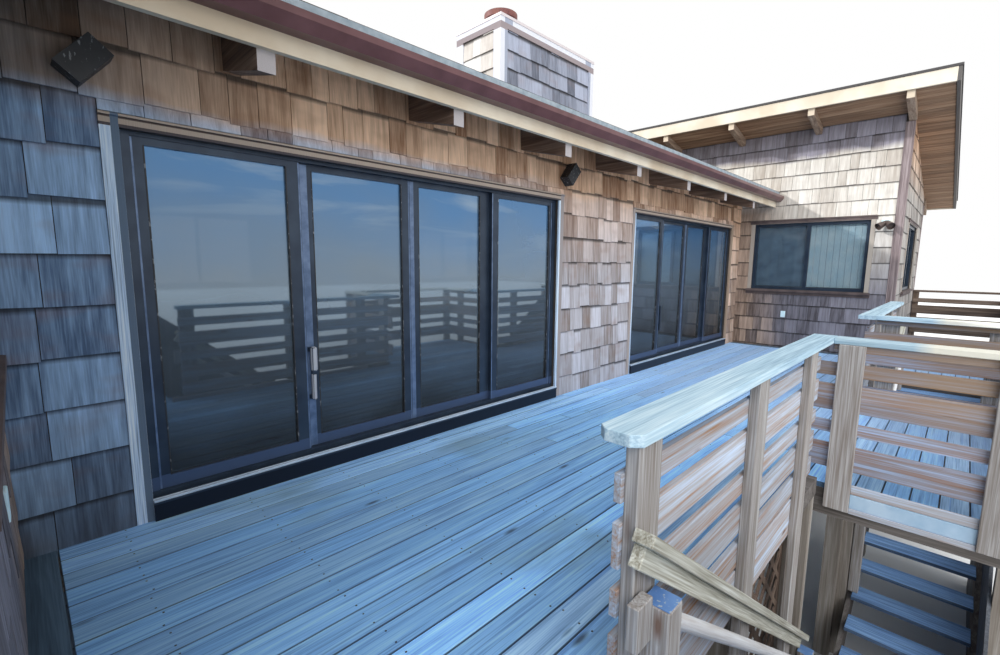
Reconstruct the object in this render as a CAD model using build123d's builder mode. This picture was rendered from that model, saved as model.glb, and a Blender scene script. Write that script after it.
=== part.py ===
from build123d import *
import os

os.makedirs("parts", exist_ok=True)

# Beach apartment building of two storeys, in millimetres.
# X runs along the court wall, Y into the building and Z up from the ground.
# The origin lies on the ground under the middle of the court wall.

# Levels
deck_z = 2750
floor_z = 2850
slab_t = 250
ground_floor_t = 100

# Plan of the middle section and the two wings
court_half = 4910
wing_w = 3660
wing_front = -2380
back = 6100
wall_t = 150
court_face = -20
wing_out = court_half + wing_w

# Roofs
roof_slope = 0.25
roof_t = 150
cover_t = 30
fascia_t = 38
wall_top = 5500
wing_top = 6540
eave_over = 562
shingle_over = 75
fascia_drop = 100
wing_over_in = 670
wing_over_out = 600
wing_over_front = 450
wing_over_back = 520
wing_shingle_over = 50
seat_gap = 0.3
eave_front = -eave_over
wing_eave_in = court_half - wing_over_in
wing_eave_out = wing_out + wing_over_out
wing_roof_front = wing_front - wing_over_front
wing_roof_back = back + wing_over_back

# Gutter: how far it hangs below the eave, its height and its width
gutter_drop = 5
gutter_h = 92
gutter_w = 120

# Rafter tails
tail_w = 90
main_tail_h = 205
main_tail_pitch = 1273
wing_tail_h = 130
wing_tail_first = 13
wing_tail_pitch = 1200

# Doors: distance of each centre from the wing beside it, and width
door_left_in = 2375
door_left_w = 3660
door_right_in = 2230
door_right_w = 3500
door_bottom = 100
door_h = 2030
door_rail = 45
door_head = 20
stile_lap = 35
panel_foot = 75
panel_top = 40

# Left and right stile of each of the four panels
panel_stiles = ((60, 87), (133, 75), (90, 150), (82, 45))
casing_w = 80
casing_t = 20
sill_out = 42
track_t = 12

# Windows, and how far in from the nearest corner each one stands
window_w = 1710
window_bottom = 1050
window_h = 1170
window_bar = 50
court_window_in = 380
outer_windows_in = (1680, 5580)
wing_window_in = 990
back_window_in = 2310
trim_w = 60
trim_t = 20
stool_out = 50
drip_out = 30

# Decks and stairs
lumber_t = 38
deck_front = -2513
landing_front = -3760
plank_t = 38
joist_h = 184
joist_bays = 16
rim_h = 235
rim_rise = 40
stair_start = 3750
treads = 12
riser = deck_z / (treads + 2)
going = 270
nosing_gap = 10
stringer_t = 40
stair_near = deck_front - 92
stair_far = landing_front + 170
bridge_half = 1050
pile_w = 140
slim_post = 89

# Railings
rail_top = 1000
cap_t = 38
cap_w = 140
cap_chamfer = 30
cap_front = 12
post_w = 140
post_t = 44
slat_t = 25
nailer_h = 50
post_back = deck_front - lumber_t
post_face = post_back - post_t
near_post_x = stair_start - 180
corner_post_x = bridge_half + 460
middle_post_x = corner_post_x + 980

# Slats: bottom and top of each one above the deck
court_slats = ((783, 872), (635, 720), (579, 635), (425, 512), (232, 363), (60, 178))
bridge_slats = ((748, 835), (596, 690), (515, 596), (360, 440), (190, 285), (118, 190))

# Handrail and round pole beside each flight
handrail_rise = 732
handrail_w = 64
newel_rise = 490
pole_r = 27

# Chimney
chase_half = 870
chase_front = 690
chase_back = 1380
chase_top = 6865
chase_wall = 90
chase_band = 110
flue_x = -520
flue_r = 150
flue_rise = 140

# Speakers on the court wall: distance from the door beside each, and the box
speaker_gap = 120
speaker_z = 2400
speaker_size = (210, 120)
speaker_t = 120


def board(x0, x1, y0, y1, z0, z1):
    """One square-edged piece between two corners."""
    x0, x1 = min(x0, x1), max(x0, x1)
    with BuildSketch(Plane.XY.offset(z0)) as outline:
        with Locations(((x0 + x1) / 2, (y0 + y1) / 2)):
            Rectangle(x1 - x0, y1 - y0)
    extrude(outline.sketch, amount=z1 - z0)


def cut_board(x0, x1, y0, y1, z0, z1):
    """One square-edged hole between two corners."""
    x0, x1 = min(x0, x1), max(x0, x1)
    with BuildSketch(Plane.XY.offset(z0)) as outline:
        with Locations(((x0 + x1) / 2, (y0 + y1) / 2)):
            Rectangle(x1 - x0, y1 - y0)
    extrude(outline.sketch, amount=z1 - z0, mode=Mode.SUBTRACT)


def along_x(points, x0, x1):
    """A profile of (y, z) points drawn out along X."""
    x0, x1 = min(x0, x1), max(x0, x1)
    with BuildSketch(Plane.YZ.offset(x0)) as outline:
        Polygon(*points, align=None)
    extrude(outline.sketch, amount=x1 - x0)


def along_y(points, y0, y1):
    """A profile of (x, z) points drawn out along Y."""
    with BuildSketch(Plane.XZ.offset(-y1)) as outline:
        Polygon(*points, align=None)
    extrude(outline.sketch, amount=y1 - y0)


def wing_under(x):
    """Height of the wing roof's underside at a distance from the middle."""
    return wing_top - roof_slope * (abs(x) - court_half)


def main_under(y):
    """Height of the middle roof's underside at a depth."""
    ridge = back / 2
    return wall_top + roof_slope * (ridge - abs(y - ridge))


def cover_top(y):
    """Height of the middle roof's shingled face at a depth."""
    return main_under(y) + roof_t + cover_t


def save(builder, label):
    """Name the piece and write it."""
    builder.part.label = label
    export_step(builder.part, "parts/" + label + ".step")


door_left = (door_left_in - court_half, door_left_w)
door_right = (court_half - door_right_in, door_right_w)
doors = (door_left, door_right)
levels = (0, deck_z)
back_windows = (back_window_in - court_half, court_half - back_window_in)
court_window_y = wing_front + court_window_in
outer_window_y = [wing_front + d for d in outer_windows_in]
wing_window_x = court_half + wing_window_in

# Court wall with a wide sliding door on each side, on both storeys
with BuildPart() as court_wall:
    profile = [(court_face, 0), (wall_t, 0), (wall_t, main_under(wall_t)), (court_face, main_under(court_face))]
    along_x(profile, -court_half, court_half)
    for level in levels:
        for centre, width in doors:
            z0 = level + door_bottom
            cut_board(centre - width / 2, centre + width / 2, court_face - 10, wall_t + 10, z0, z0 + door_h)
save(court_wall, "court_wall")

# Back wall of the middle section
with BuildPart() as middle_back_wall:
    inner = main_under(back - wall_t)
    profile = [(back - wall_t, 0), (back, 0), (back, wall_top), (back - wall_t, inner)]
    along_x(profile, -court_half, court_half)
    for level in levels:
        for centre in back_windows:
            z0 = level + window_bottom
            xa, xb = centre - window_w / 2, centre + window_w / 2
            cut_board(xa, xb, back - wall_t - 10, back + 10, z0, z0 + window_h)
save(middle_back_wall, "middle_back_wall")

for side, s in (("left", -1), ("right", 1)):
    xi = s * court_half
    xj = s * (court_half + wall_t)
    xo = s * wing_out
    xp = s * (wing_out - wall_t)

    with BuildPart() as inner_wall:
        points = [(xi, 0), (xj, 0), (xj, wing_under(xj)), (xi, wing_under(xi))]
        along_y(points[::s], wing_front, back)
        for level in levels:
            y0 = court_window_y
            z0 = level + window_bottom
            cut_board(xi - s * 10, xj + s * 10, y0, y0 + window_w, z0, z0 + window_h)
    save(inner_wall, side + "_wing_court_wall")

    with BuildPart() as outer_wall:
        points = [(xp, 0), (xo, 0), (xo, wing_under(xo)), (xp, wing_under(xp))]
        along_y(points[::s], wing_front, back)
        for level in levels:
            for y0 in outer_window_y:
                z0 = level + window_bottom
                cut_board(xp - s * 10, xo + s * 10, y0, y0 + window_w, z0, z0 + window_h)
    save(outer_wall, side + "_wing_outer_wall")

    with BuildPart() as wing_front_wall:
        points = [(xj, 0), (xp, 0), (xp, wing_under(xp)), (xj, wing_under(xj))]
        along_y(points[::s], wing_front, wing_front + wall_t)
        for level in levels:
            z0 = level + window_bottom
            x0 = s * wing_window_x
            cut_board(x0, x0 + s * window_w, wing_front - 10, wing_front + wall_t + 10, z0, z0 + window_h)
    save(wing_front_wall, side + "_wing_front_wall")

    with BuildPart() as wing_back_wall:
        points = [(xj, 0), (xp, 0), (xp, wing_under(xp)), (xj, wing_under(xj))]
        along_y(points[::s], back - wall_t, back)
        for level in levels:
            z0 = level + window_bottom
            x0 = s * wing_window_x
            cut_board(x0, x0 + s * window_w, back - wall_t - 10, back + 10, z0, z0 + window_h)
    save(wing_back_wall, side + "_wing_back_wall")

    # Shed roof that falls away from the court
    with BuildPart() as wing_roof:
        a, b = s * wing_eave_in, s * wing_eave_out
        za, zb = wing_under(a), wing_under(b)
        points = [(a, za), (b, zb), (b, zb + roof_t), (a, za + roof_t)]
        along_y(points[::s], wing_roof_front, wing_roof_back)
    save(wing_roof, side + "_wing_roof")

    with BuildPart() as wing_shingles:
        a = s * (wing_eave_in - wing_shingle_over)
        b = s * (wing_eave_out + wing_shingle_over)
        za, zb = wing_under(a) + roof_t, wing_under(b) + roof_t
        points = [(a, za), (b, zb), (b, zb + cover_t), (a, za + cover_t)]
        along_y(points[::s], wing_roof_front - wing_shingle_over, wing_roof_back + wing_shingle_over)
    save(wing_shingles, side + "_wing_roof_shingles")

    with BuildPart() as wing_trim:
        # high fascia, low fascia and the two sloping rake boards
        hang = 25
        a = s * wing_eave_in
        za = wing_under(a)
        f = s * (wing_eave_in - fascia_t)
        high = [(f, za - hang), (a, za - hang), (a, za + roof_t), (f, wing_under(f) + roof_t)]
        along_y(high[::s], wing_roof_front - fascia_t, wing_roof_back + fascia_t)
        b = s * wing_eave_out
        zb = wing_under(b)
        g = s * (wing_eave_out + fascia_t)
        low = [(b, zb - hang), (g, zb - hang), (g, wing_under(g) + roof_t), (b, zb + roof_t)]
        along_y(low[::s], wing_roof_front - fascia_t, wing_roof_back + fascia_t)
        rake = [(a, za - hang), (b, zb - hang), (b, zb + roof_t), (a, za + roof_t)]
        along_y(rake[::s], wing_roof_front - fascia_t, wing_roof_front)
        along_y(rake[::s], wing_roof_back, wing_roof_back + fascia_t)
    save(wing_trim, side + "_wing_roof_trim")

# Floors
with BuildPart() as ground_floor:
    board(-court_half, court_half, wall_t, back - wall_t, 0, ground_floor_t)
    for s in (-1, 1):
        x0 = s * (court_half + wall_t)
        x1 = s * (wing_out - wall_t)
        board(x0, x1, wing_front + wall_t, back - wall_t, 0, ground_floor_t)
save(ground_floor, "ground_floor")

with BuildPart() as upper_floor:
    board(-court_half, court_half, wall_t, back - wall_t, floor_z - slab_t, floor_z)
    for s in (-1, 1):
        x0 = s * (court_half + wall_t)
        x1 = s * (wing_out - wall_t)
        board(x0, x1, wing_front + wall_t, back - wall_t, floor_z - slab_t, floor_z)
save(upper_floor, "upper_floor")

# Low gabled roof of the middle section, in a front and a back slope
ridge_y = back / 2
eave_back = back - eave_front
with BuildPart() as main_roof:
    za = main_under(eave_front)
    yr = ridge_y - seat_gap / 2
    zr = main_under(yr)
    slope = [(eave_front, za), (yr, zr), (yr, zr + roof_t), (eave_front, za + roof_t)]
    along_x(slope, -court_half, court_half)
    mirrored = [(back - y, z) for y, z in slope]
    along_x(mirrored[::-1], -court_half, court_half)
save(main_roof, "main_roof")

with BuildPart() as main_shingles:
    lip = eave_front - shingle_over
    za = main_under(lip) + roof_t
    yr = ridge_y - seat_gap / 2
    zr = main_under(yr) + roof_t
    slope = [(lip, za), (yr, zr), (yr, zr + cover_t), (lip, za + cover_t)]
    along_x(slope, -court_half, court_half)
    mirrored = [(back - y, z) for y, z in slope]
    along_x(mirrored[::-1], -court_half, court_half)
save(main_shingles, "main_roof_shingles")

eave_z = main_under(eave_front)
with BuildPart() as main_fascia:
    for y0, y1 in ((eave_front - fascia_t, eave_front), (eave_back, eave_back + fascia_t)):
        board(-court_half, court_half, y0, y1, eave_z - fascia_drop, eave_z + roof_t - 10)
save(main_fascia, "main_fascia")

# Gutter with an ogee-like front, open at the top
with BuildPart() as main_gutter:
    y = eave_front - fascia_t
    zb = eave_z - gutter_drop
    zt = zb + gutter_h
    w = gutter_w
    shell = 15
    outer = [(y, zb), (y - w + 40, zb), (y - w, zb + 55), (y - w, zt), (y - w + shell, zt)]
    lining = [(y - w + shell, zb + 60), (y - w + 48, zb + shell), (y - 10, zb + shell), (y - 10, zt), (y, zt)]
    along_x(outer + lining, -court_half, court_half)
save(main_gutter, "main_gutter")

# Rafter tails under the eaves
with BuildPart() as main_tails:
    for k in range(-3, 4):
        x0 = main_tail_pitch * k - tail_w / 2
        x1 = x0 + tail_w
        ya, za = eave_front, main_under(eave_front)
        yw, zw = court_face, main_under(court_face)
        front_tail = [(ya, za - main_tail_h), (yw, zw - main_tail_h), (yw, zw), (ya, za)]
        along_x(front_tail, x0, x1)
        back_tail = [(back - ya, za - main_tail_h), (back - ya, za), (back, wall_top), (back, wall_top - main_tail_h)]
        along_x(back_tail, x0, x1)
save(main_tails, "main_rafter_tails")

for side, s in (("left", -1), ("right", 1)):
    with BuildPart() as wing_tails:
        for k in range(8):
            y = wing_front + wing_tail_first + wing_tail_pitch * k
            for a, b in ((s * wing_eave_in, s * court_half), (s * wing_out, s * wing_eave_out)):
                za, zb = wing_under(a), wing_under(b)
                tail = [(a, za - wing_tail_h), (b, zb - wing_tail_h), (b, zb), (a, za)]
                along_y(tail[::s], y - tail_w / 2, y + tail_w / 2)
    save(wing_tails, side + "_wing_rafter_tails")

# Chimney chase that straddles the front slope of the middle roof
with BuildPart() as chimney_chase:
    y0, y1 = chase_front, chase_back
    profile = [(y0, cover_top(y0)), (y1, cover_top(y1)), (y1, chase_top), (y0, chase_top)]
    along_x(profile, -chase_half, chase_half)
    w = chase_wall
    cut_board(w - chase_half, chase_half - w, y0 + w, y1 - w, cover_top(y0) - 100, chase_top + 10)
save(chimney_chase, "chimney_chase")

with BuildPart() as chimney_cap:
    lip = 25
    y0, y1 = chase_front - lip, chase_back + lip
    board(-chase_half - lip, chase_half + lip, y0, y1, chase_top, chase_top + 30)
    with BuildSketch(Plane.XY.offset(chase_top + 30)):
        with Locations((flue_x, (chase_front + chase_back) / 2)):
            Circle(flue_r)
    extrude(amount=flue_rise)
    with BuildSketch(Plane.XY.offset(chase_top + 30 + flue_rise)):
        with Locations((flue_x, (chase_front + chase_back) / 2)):
            Circle(flue_r * 1.3)
    extrude(amount=60)
save(chimney_cap, "chimney_cap_and_flue")


def door_panels(centre, width):
    """Left end, right end, front face and the two stiles of each of the four panels."""
    x0 = centre - width / 2 + door_rail
    pitch = (width - 2 * door_rail) / 4
    rows = []
    for k in range(4):
        a = x0 + k * pitch - (stile_lap if k == 1 else 0)
        b = x0 + (k + 1) * pitch + (stile_lap if k == 2 else 0)
        rows.append((a, b, 60 if k in (1, 2) else 20, *panel_stiles[k]))
    return rows


# Sliding doors: frame, four framed panels, pull, sill board and metal track
def door_frame(centre, width, z0):
    x0 = centre - width / 2
    x1 = centre + width / 2
    z1 = z0 + door_h
    r = door_rail
    board(x0, x1, 10, 110, z0, z1)
    zh = z1 - door_head
    cut_board(x0 + r, x1 - r, 0, 120, z0 + r, zh)
    for a, b, y, left, right in door_panels(centre, width):
        board(a, a + left, y, y + 40, z0 + r, zh)
        board(b - right, b, y, y + 40, z0 + r, zh)
        board(a + left, b - right, y, y + 40, z0 + r, z0 + r + panel_foot)
        board(a + left, b - right, y, y + 40, zh - panel_top, zh)
    board(x0, x1, court_face - sill_out, court_face, z0 - door_bottom, z0)
    board(x0, x1, court_face - sill_out - 8, 10, z0, z0 + track_t)
    a, b, y, left, right = door_panels(centre, width)[1]
    grip = a + left / 2
    board(grip - 12, grip + 28, y - 22, y, z0 + 400, z0 + 430)
    board(grip - 12, grip + 28, y - 22, y, z0 + 740, z0 + 770)
    board(grip - 2, grip + 18, y - 52, y - 22, z0 + 400, z0 + 770)


def door_glass(centre, width, z0):
    zh = z0 + door_h - door_head
    for a, b, y, left, right in door_panels(centre, width):
        board(a + left, b - right, y + 17, y + 23, z0 + door_rail + panel_foot, zh - panel_top)


for storey_name, level in (("lower", 0), ("upper", deck_z)):
    for side, (centre, width) in (("left", door_left), ("right", door_right)):
        with BuildPart() as frame:
            door_frame(centre, width, level + door_bottom)
        save(frame, storey_name + "_" + side + "_sliding_door")
    with BuildPart() as glass:
        for centre, width in doors:
            door_glass(centre, width, level + door_bottom)
    save(glass, storey_name + "_door_glass")

with BuildPart() as casings:
    for level in levels:
        for centre, width in doors:
            x0 = centre - width / 2
            x1 = centre + width / 2
            z0 = level + door_bottom
            z1 = z0 + door_h
            y = court_face
            head = [(y, z1), (y - casing_t, z1), (y - casing_t, z1 + 48), (y - 34, z1 + 52), (y - 34, z1 + 62), (y, z1 + 72)]
            along_x(head[::-1], x0 - casing_w, x1 + casing_w)
            board(x0 - casing_w, x0, y - casing_t, y, level, z1)
            board(x1, x1 + casing_w, y - casing_t, y, level, z1)
save(casings, "door_casings")


# Windows: two sliding lights in a dark frame, on a wall that runs along Y or X
def window_frame_y(x_face, s, y0, z0):
    a = x_face + s * 20
    b = x_face + s * 100
    y1 = y0 + window_w
    z1 = z0 + window_h
    mid = (y0 + y1) / 2
    w = window_bar
    board(a, b, y0, y1, z0, z1)
    cut_board(a - s, b + s, y0 + w, mid - w / 2, z0 + w, z1 - w)
    cut_board(a - s, b + s, mid + w / 2, y1 - w, z0 + w, z1 - w)


def window_frame_x(y_face, x0, x1, z0, inward):
    a = min(y_face + inward * 20, y_face + inward * 100)
    b = a + 80
    z1 = z0 + window_h
    mid = (x0 + x1) / 2
    w = window_bar
    board(x0, x1, a, b, z0, z1)
    cut_board(x0 + w, mid - w / 2, a - 1, b + 1, z0 + w, z1 - w)
    cut_board(mid + w / 2, x1 - w, a - 1, b + 1, z0 + w, z1 - w)


with BuildPart() as wing_frames:
    for level in levels:
        z0 = level + window_bottom
        for s in (-1, 1):
            window_frame_y(s * court_half, s, court_window_y, z0)
            for y0 in outer_window_y:
                window_frame_y(s * wing_out, -s, y0, z0)
            xa, xb = sorted((s * wing_window_x, s * (wing_window_x + window_w)))
            window_frame_x(wing_front, xa, xb, z0, 1)
            window_frame_x(back, xa, xb, z0, -1)
        for centre in back_windows:
            window_frame_x(back, centre - window_w / 2, centre + window_w / 2, z0, -1)
save(wing_frames, "window_frames")

with BuildPart() as window_glass:
    w = window_bar
    for level in levels:
        z0 = level + window_bottom + w
        z1 = level + window_bottom + window_h - w
        for s in (-1, 1):
            for x_face, inward, rows in ((court_half, 1, (court_window_y,)), (wing_out, -1, outer_window_y)):
                for y0 in rows:
                    a = s * (x_face + inward * 57)
                    b = s * (x_face + inward * 63)
                    mid = y0 + window_w / 2
                    board(a, b, y0 + w, mid - w / 2, z0, z1)
                    board(a, b, mid + w / 2, y0 + window_w - w, z0, z1)
            xa, xb = sorted((s * wing_window_x, s * (wing_window_x + window_w)))
            mid = (xa + xb) / 2
            for ya in (wing_front + 57, back - 63):
                board(xa + w, mid - w / 2, ya, ya + 6, z0, z1)
                board(mid + w / 2, xb - w, ya, ya + 6, z0, z1)
        for centre in back_windows:
            half = window_w / 2 - w
            board(centre - half, centre - w / 2, back - 63, back - 57, z0, z1)
            board(centre + w / 2, centre + half, back - 63, back - 57, z0, z1)
save(window_glass, "window_glass")


def trim_profiles(face, out, z0):
    """Sections of a sloping sill and of a drip cap that stand out from a wall face."""
    z1 = z0 + window_h
    sill = [(face, z0 - 90), (face + out * trim_t, z0 - 90), (face + out * trim_t, z0 - 42)]
    sill += [(face + out * stool_out, z0 - 42), (face + out * stool_out, z0 - 8), (face, z0)]
    head = [(face, z1), (face + out * trim_t, z1), (face + out * trim_t, z1 + 48)]
    head += [(face + out * drip_out, z1 + 48), (face + out * drip_out, z1 + 64), (face, z1 + 72)]
    return sill, head


def window_trim_y(x_face, out, y0, z0):
    """Casing, sill and drip cap on a wall that runs along Y."""
    y1 = y0 + window_w
    for profile in trim_profiles(x_face, out, z0):
        along_y(profile[::out], y0 - trim_w - 20, y1 + trim_w + 20)
    for ya in (y0 - trim_w, y1):
        board(x_face, x_face + out * trim_t, ya, ya + trim_w, z0, z0 + window_h)


def window_trim_x(y_face, out, x0, x1, z0):
    """Casing, sill and drip cap on a wall that runs along X."""
    for profile in trim_profiles(y_face, out, z0):
        along_x(profile[::-out], x0 - trim_w - 20, x1 + trim_w + 20)
    for xa in (x0 - trim_w, x1):
        ya, yb = sorted((y_face, y_face + out * trim_t))
        board(xa, xa + trim_w, ya, yb, z0, z0 + window_h)


with BuildPart() as window_trim:
    for level in levels:
        z0 = level + window_bottom
        for s in (-1, 1):
            window_trim_y(s * court_half, -s, court_window_y, z0)
            for y0 in outer_window_y:
                window_trim_y(s * wing_out, s, y0, z0)
            xa, xb = sorted((s * wing_window_x, s * (wing_window_x + window_w)))
            window_trim_x(wing_front, -1, xa, xb, z0)
            window_trim_x(back, 1, xa, xb, z0)
        for centre in back_windows:
            window_trim_x(back, 1, centre - window_w / 2, centre + window_w / 2, z0)
save(window_trim, "window_trim")


def chimney_corner(sx, y0, out):
    """One L of boards at a corner of the chase, cut to the roof's slope."""
    x = sx * chase_half
    top = chase_top - chase_band
    leg = y0 - out * 90
    face = y0 + out * trim_t
    ya, yb = sorted((leg, face))
    side = [(ya, cover_top(ya)), (yb, cover_top(yb)), (yb, top), (ya, top)]
    along_x(side, x, x + sx * trim_t)
    ya, yb = sorted((y0, face))
    front = [(ya, cover_top(ya)), (yb, cover_top(yb)), (yb, top), (ya, top)]
    along_x(front, x - sx * 90, x)


# Corner boards of the wings, broken where a deck or a roof meets them
with BuildPart() as corner_boards:
    under_deck = deck_z - plank_t - joist_h
    top_in = wing_under(court_half) - wing_tail_h - 5
    top_out = wing_under(wing_out) - wing_tail_h - 5
    for s in (-1, 1):
        corners = ((s * court_half, -s, wing_front, -1, top_in), (s * wing_out, s, wing_front, -1, top_out))
        for x, ox, y, oy, top in corners:
            for za, zb in ((0, under_deck), (deck_z, top)):
                ya, yb = sorted((y + oy * trim_t, y - oy * 90))
                board(x, x + ox * trim_t, ya, yb, za, zb)
                ya, yb = sorted((y + oy * trim_t, y))
                board(x, x - ox * 90, ya, yb, za, zb)
        x = s * wing_out
        board(x, x + s * trim_t, back - 90, back + trim_t, 0, top_out)
        board(x, x - s * 90, back, back + trim_t, 0, top_out)
        chimney_corner(s, chase_front, -1)
        chimney_corner(s, chase_back, 1)
    za, zb = chase_top - chase_band, chase_top
    half, t = chase_half, trim_t
    board(-half - t, half + t, chase_front - t, chase_back + t, za, zb)
    cut_board(-half, half, chase_front, chase_back, za - 1, zb + 1)
save(corner_boards, "corner_boards")

# Decks: planked surface on joists and rim boards
with BuildPart() as main_deck:
    board(-court_half, court_half, deck_front, court_face, deck_z - plank_t, deck_z)
save(main_deck, "main_deck")

joist_top = deck_z - plank_t
joist_foot = joist_top - joist_h
with BuildPart() as deck_frame:
    t = lumber_t
    board(-court_half, court_half, deck_front, deck_front + t, joist_foot, joist_top)
    board(-court_half, court_half, court_face - t, court_face, joist_foot, joist_top)
    for k in range(joist_bays + 1):
        x = -court_half + t / 2 + k * (2 * court_half - t) / joist_bays
        board(x - t / 2, x + t / 2, deck_front + t, court_face - t, joist_foot, joist_top)
    # solid blocks in the two corners between the stair wells and the bridge
    for s in (-1, 1):
        xa, xb = s * (bridge_half + post_t), s * (corner_post_x - post_w / 2)
        board(xa, xb, post_face, deck_front - seat_gap, deck_z - 80, deck_z + rim_rise)
save(deck_frame, "main_deck_frame")

with BuildPart() as front_decks:
    for s in (-1, 1):
        board(s * stair_start, s * wing_out, landing_front, deck_front, joist_top, deck_z)
        board(s * court_half, s * wing_out, deck_front, wing_front, joist_top, deck_z)
save(front_decks, "front_decks")

with BuildPart() as front_frames:
    t = lumber_t
    for s in (-1, 1):
        xa, xb = s * stair_start, s * wing_out
        board(xa, xb, landing_front, landing_front + t, joist_foot, joist_top)
        board(xa, xb, deck_front - t, deck_front, joist_foot, joist_top)
        for k in range(9):
            x = stair_start + t / 2 + k * (wing_out - stair_start - t) / 8
            board(s * (x - t / 2), s * (x + t / 2), landing_front + t, deck_front - t, joist_foot, joist_top)
save(front_frames, "front_deck_frames")

with BuildPart() as bridge:
    board(-bridge_half, bridge_half, landing_front, deck_front, joist_top, deck_z)
save(bridge, "bridge_deck")

with BuildPart() as bridge_frame:
    t = lumber_t
    board(-bridge_half, bridge_half, landing_front, landing_front + t, joist_foot, joist_top)
    board(-bridge_half, bridge_half, deck_front - t, deck_front, joist_foot, joist_top)
    for k in range(5):
        x = (k - 2) * (bridge_half - t / 2) / 2
        board(x - t / 2, x + t / 2, landing_front + t, deck_front - t, joist_foot, joist_top)
save(bridge_frame, "bridge_frame")

# Piles that carry the decks, and a slim post under each corner of the bridge
with BuildPart() as piles:
    pile_inner = bridge_half + 50
    pile_outer = stair_start - 90
    under_rim = deck_front + pile_w / 2
    under_front = landing_front + pile_w / 2
    spots = [(x, under_rim) for x in (pile_inner, (pile_inner + pile_outer) / 2, pile_outer)]
    spots += [(x, under_front) for x in (bridge_half - 160, stair_start + 80)]
    spots += [(x, under_front) for x in ((stair_start + wing_out) / 2, wing_out - 80)]
    for s in (-1, 1):
        for x, y in spots:
            board(s * x - pile_w / 2, s * x + pile_w / 2, y - pile_w / 2, y + pile_w / 2, 0, joist_foot)
        xa = bridge_half + 85
        board(s * xa, s * (xa + slim_post), post_face, deck_front, 0, deck_z - 80)
save(piles, "deck_piles")

# Diagonal lattice between the two inner piles on each side
with BuildPart() as lattice:
    strip = 38
    pitch = 212
    wide = (pile_outer - pile_inner) / 2 - pile_w
    tall = joist_foot - 60
    middle = pile_inner + pile_w / 2 + wide / 2
    for s in (-1, 1):
        with BuildSketch(Plane.XZ.offset(-(under_rim + 6))) as bars:
            with Locations((s * middle, 60 + tall / 2)):
                Rectangle(wide, tall)
                Rectangle(wide - 2 * strip, tall - 2 * strip, mode=Mode.SUBTRACT)
            with BuildSketch(mode=Mode.PRIVATE) as net:
                count = int((wide + tall) / pitch / 2) + 1
                places = [(s * middle + k * pitch, 60 + tall / 2) for k in range(-count, count + 1)]
                with Locations(*places):
                    Rectangle(strip, 3 * tall, rotation=-45)
                    Rectangle(strip, 3 * tall, rotation=45)
                with Locations((s * middle, 60 + tall / 2)):
                    Rectangle(wide - strip, tall - strip, mode=Mode.INTERSECT)
            add(net.sketch)
        extrude(bars.sketch, amount=12)
save(lattice, "deck_lattice")


# Railings: posts, cap and horizontal slats
def rail_cap(x0, x1, y_back):
    """Flat cap over posts whose back faces stand on y_back."""
    ya = y_back - post_t - cap_front
    top = deck_z + rail_top
    board(x0, x1, ya, ya + cap_w, top - cap_t, top)


def rail_posts(posts, y_back):
    """Posts along X, each with its place and how far it hangs below the deck."""
    for x, drop in posts:
        top = deck_z + rail_top - cap_t
        board(x - post_w / 2, x + post_w / 2, y_back - post_t, y_back, deck_z - drop, top)


def rail_slats(x0, x1, y_back, slats):
    """Slats nailed to the deck side of the posts."""
    for low, high in slats:
        board(x0, x1, y_back, y_back + slat_t, deck_z + low, deck_z + high)


cap_in = landing_front - post_t - cap_front + cap_w
court_cap_front = post_face - cap_front
for side, s in (("left", -1), ("right", 1)):
    with BuildPart() as court_rail:
        x_end = near_post_x + post_w / 2 + 28
        rail_cap(*sorted((s * x_end, s * (bridge_half - 115))), post_back)
        ends = court_rail.edges().filter_by(Axis.Z).sort_by(Axis.X)
        chamfer(ends[:2] if s < 0 else ends[-2:], cap_chamfer)
        rail_posts([(s * near_post_x, 560), (s * middle_post_x, 620), (s * corner_post_x, 1180)], post_back)
        rail_slats(*sorted((s * (near_post_x + 85), s * (bridge_half + 45))), post_back, court_slats)
        xa, xb = s * (corner_post_x - post_w / 2), s * stair_start
        z = deck_z + rim_rise
        board(xa, xb, post_back, deck_front, z - rim_h, z)
    save(court_rail, side + "_court_railing")

    with BuildPart() as bridge_rail:
        z = deck_z
        x = s * bridge_half
        top = z + rail_top
        ya, yb = landing_front + slat_t + 1, deck_front - 7
        board(x - s * 115, x + s * 25, cap_in, court_cap_front, top - cap_t, top)
        for y in (court_cap_front - 103, landing_front + 310):
            board(x, x + s * post_t, y - post_w / 2, y + post_w / 2, z - 150, top - cap_t)
        for low, high in bridge_slats:
            board(x - s * slat_t, x, ya, yb, z + low, z + high)
        board(x - s * lumber_t, x, cap_in, court_cap_front, top - cap_t - nailer_h, top - cap_t)
    save(bridge_rail, side + "_bridge_railing")

# Railings along the front edge of the front decks and of the bridge
with BuildPart() as front_railings:
    for s in (-1, 1):
        x0, x1 = sorted((s * (stair_start + 20), s * (wing_out - 20)))
        span = wing_out - stair_start
        posts = [(s * (stair_start + f * span), 180) for f in (0.02, 0.32, 0.65, 0.98)]
        rail_cap(x0, x1, landing_front)
        rail_posts(posts, landing_front)
        rail_slats(x0 + 10, x1 - 10, landing_front, bridge_slats)
save(front_railings, "front_deck_railings")

with BuildPart() as end_railings:
    z = deck_z
    for s in (-1, 1):
        x = s * (wing_out - 70)
        ya, yb = cap_in, wing_front - trim_t - 5
        board(x - 70, x + 70, ya, yb, z + rail_top - cap_t, z + rail_top)
        board(x - 45, x + 45, yb - 90, yb, z, z + rail_top - cap_t)
        for low, high in bridge_slats:
            a, b = x - s * 45, x - s * (45 + slat_t)
            board(a, b, landing_front + slat_t + 1, yb, z + low, z + high)
save(end_railings, "front_deck_end_railings")

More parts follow.
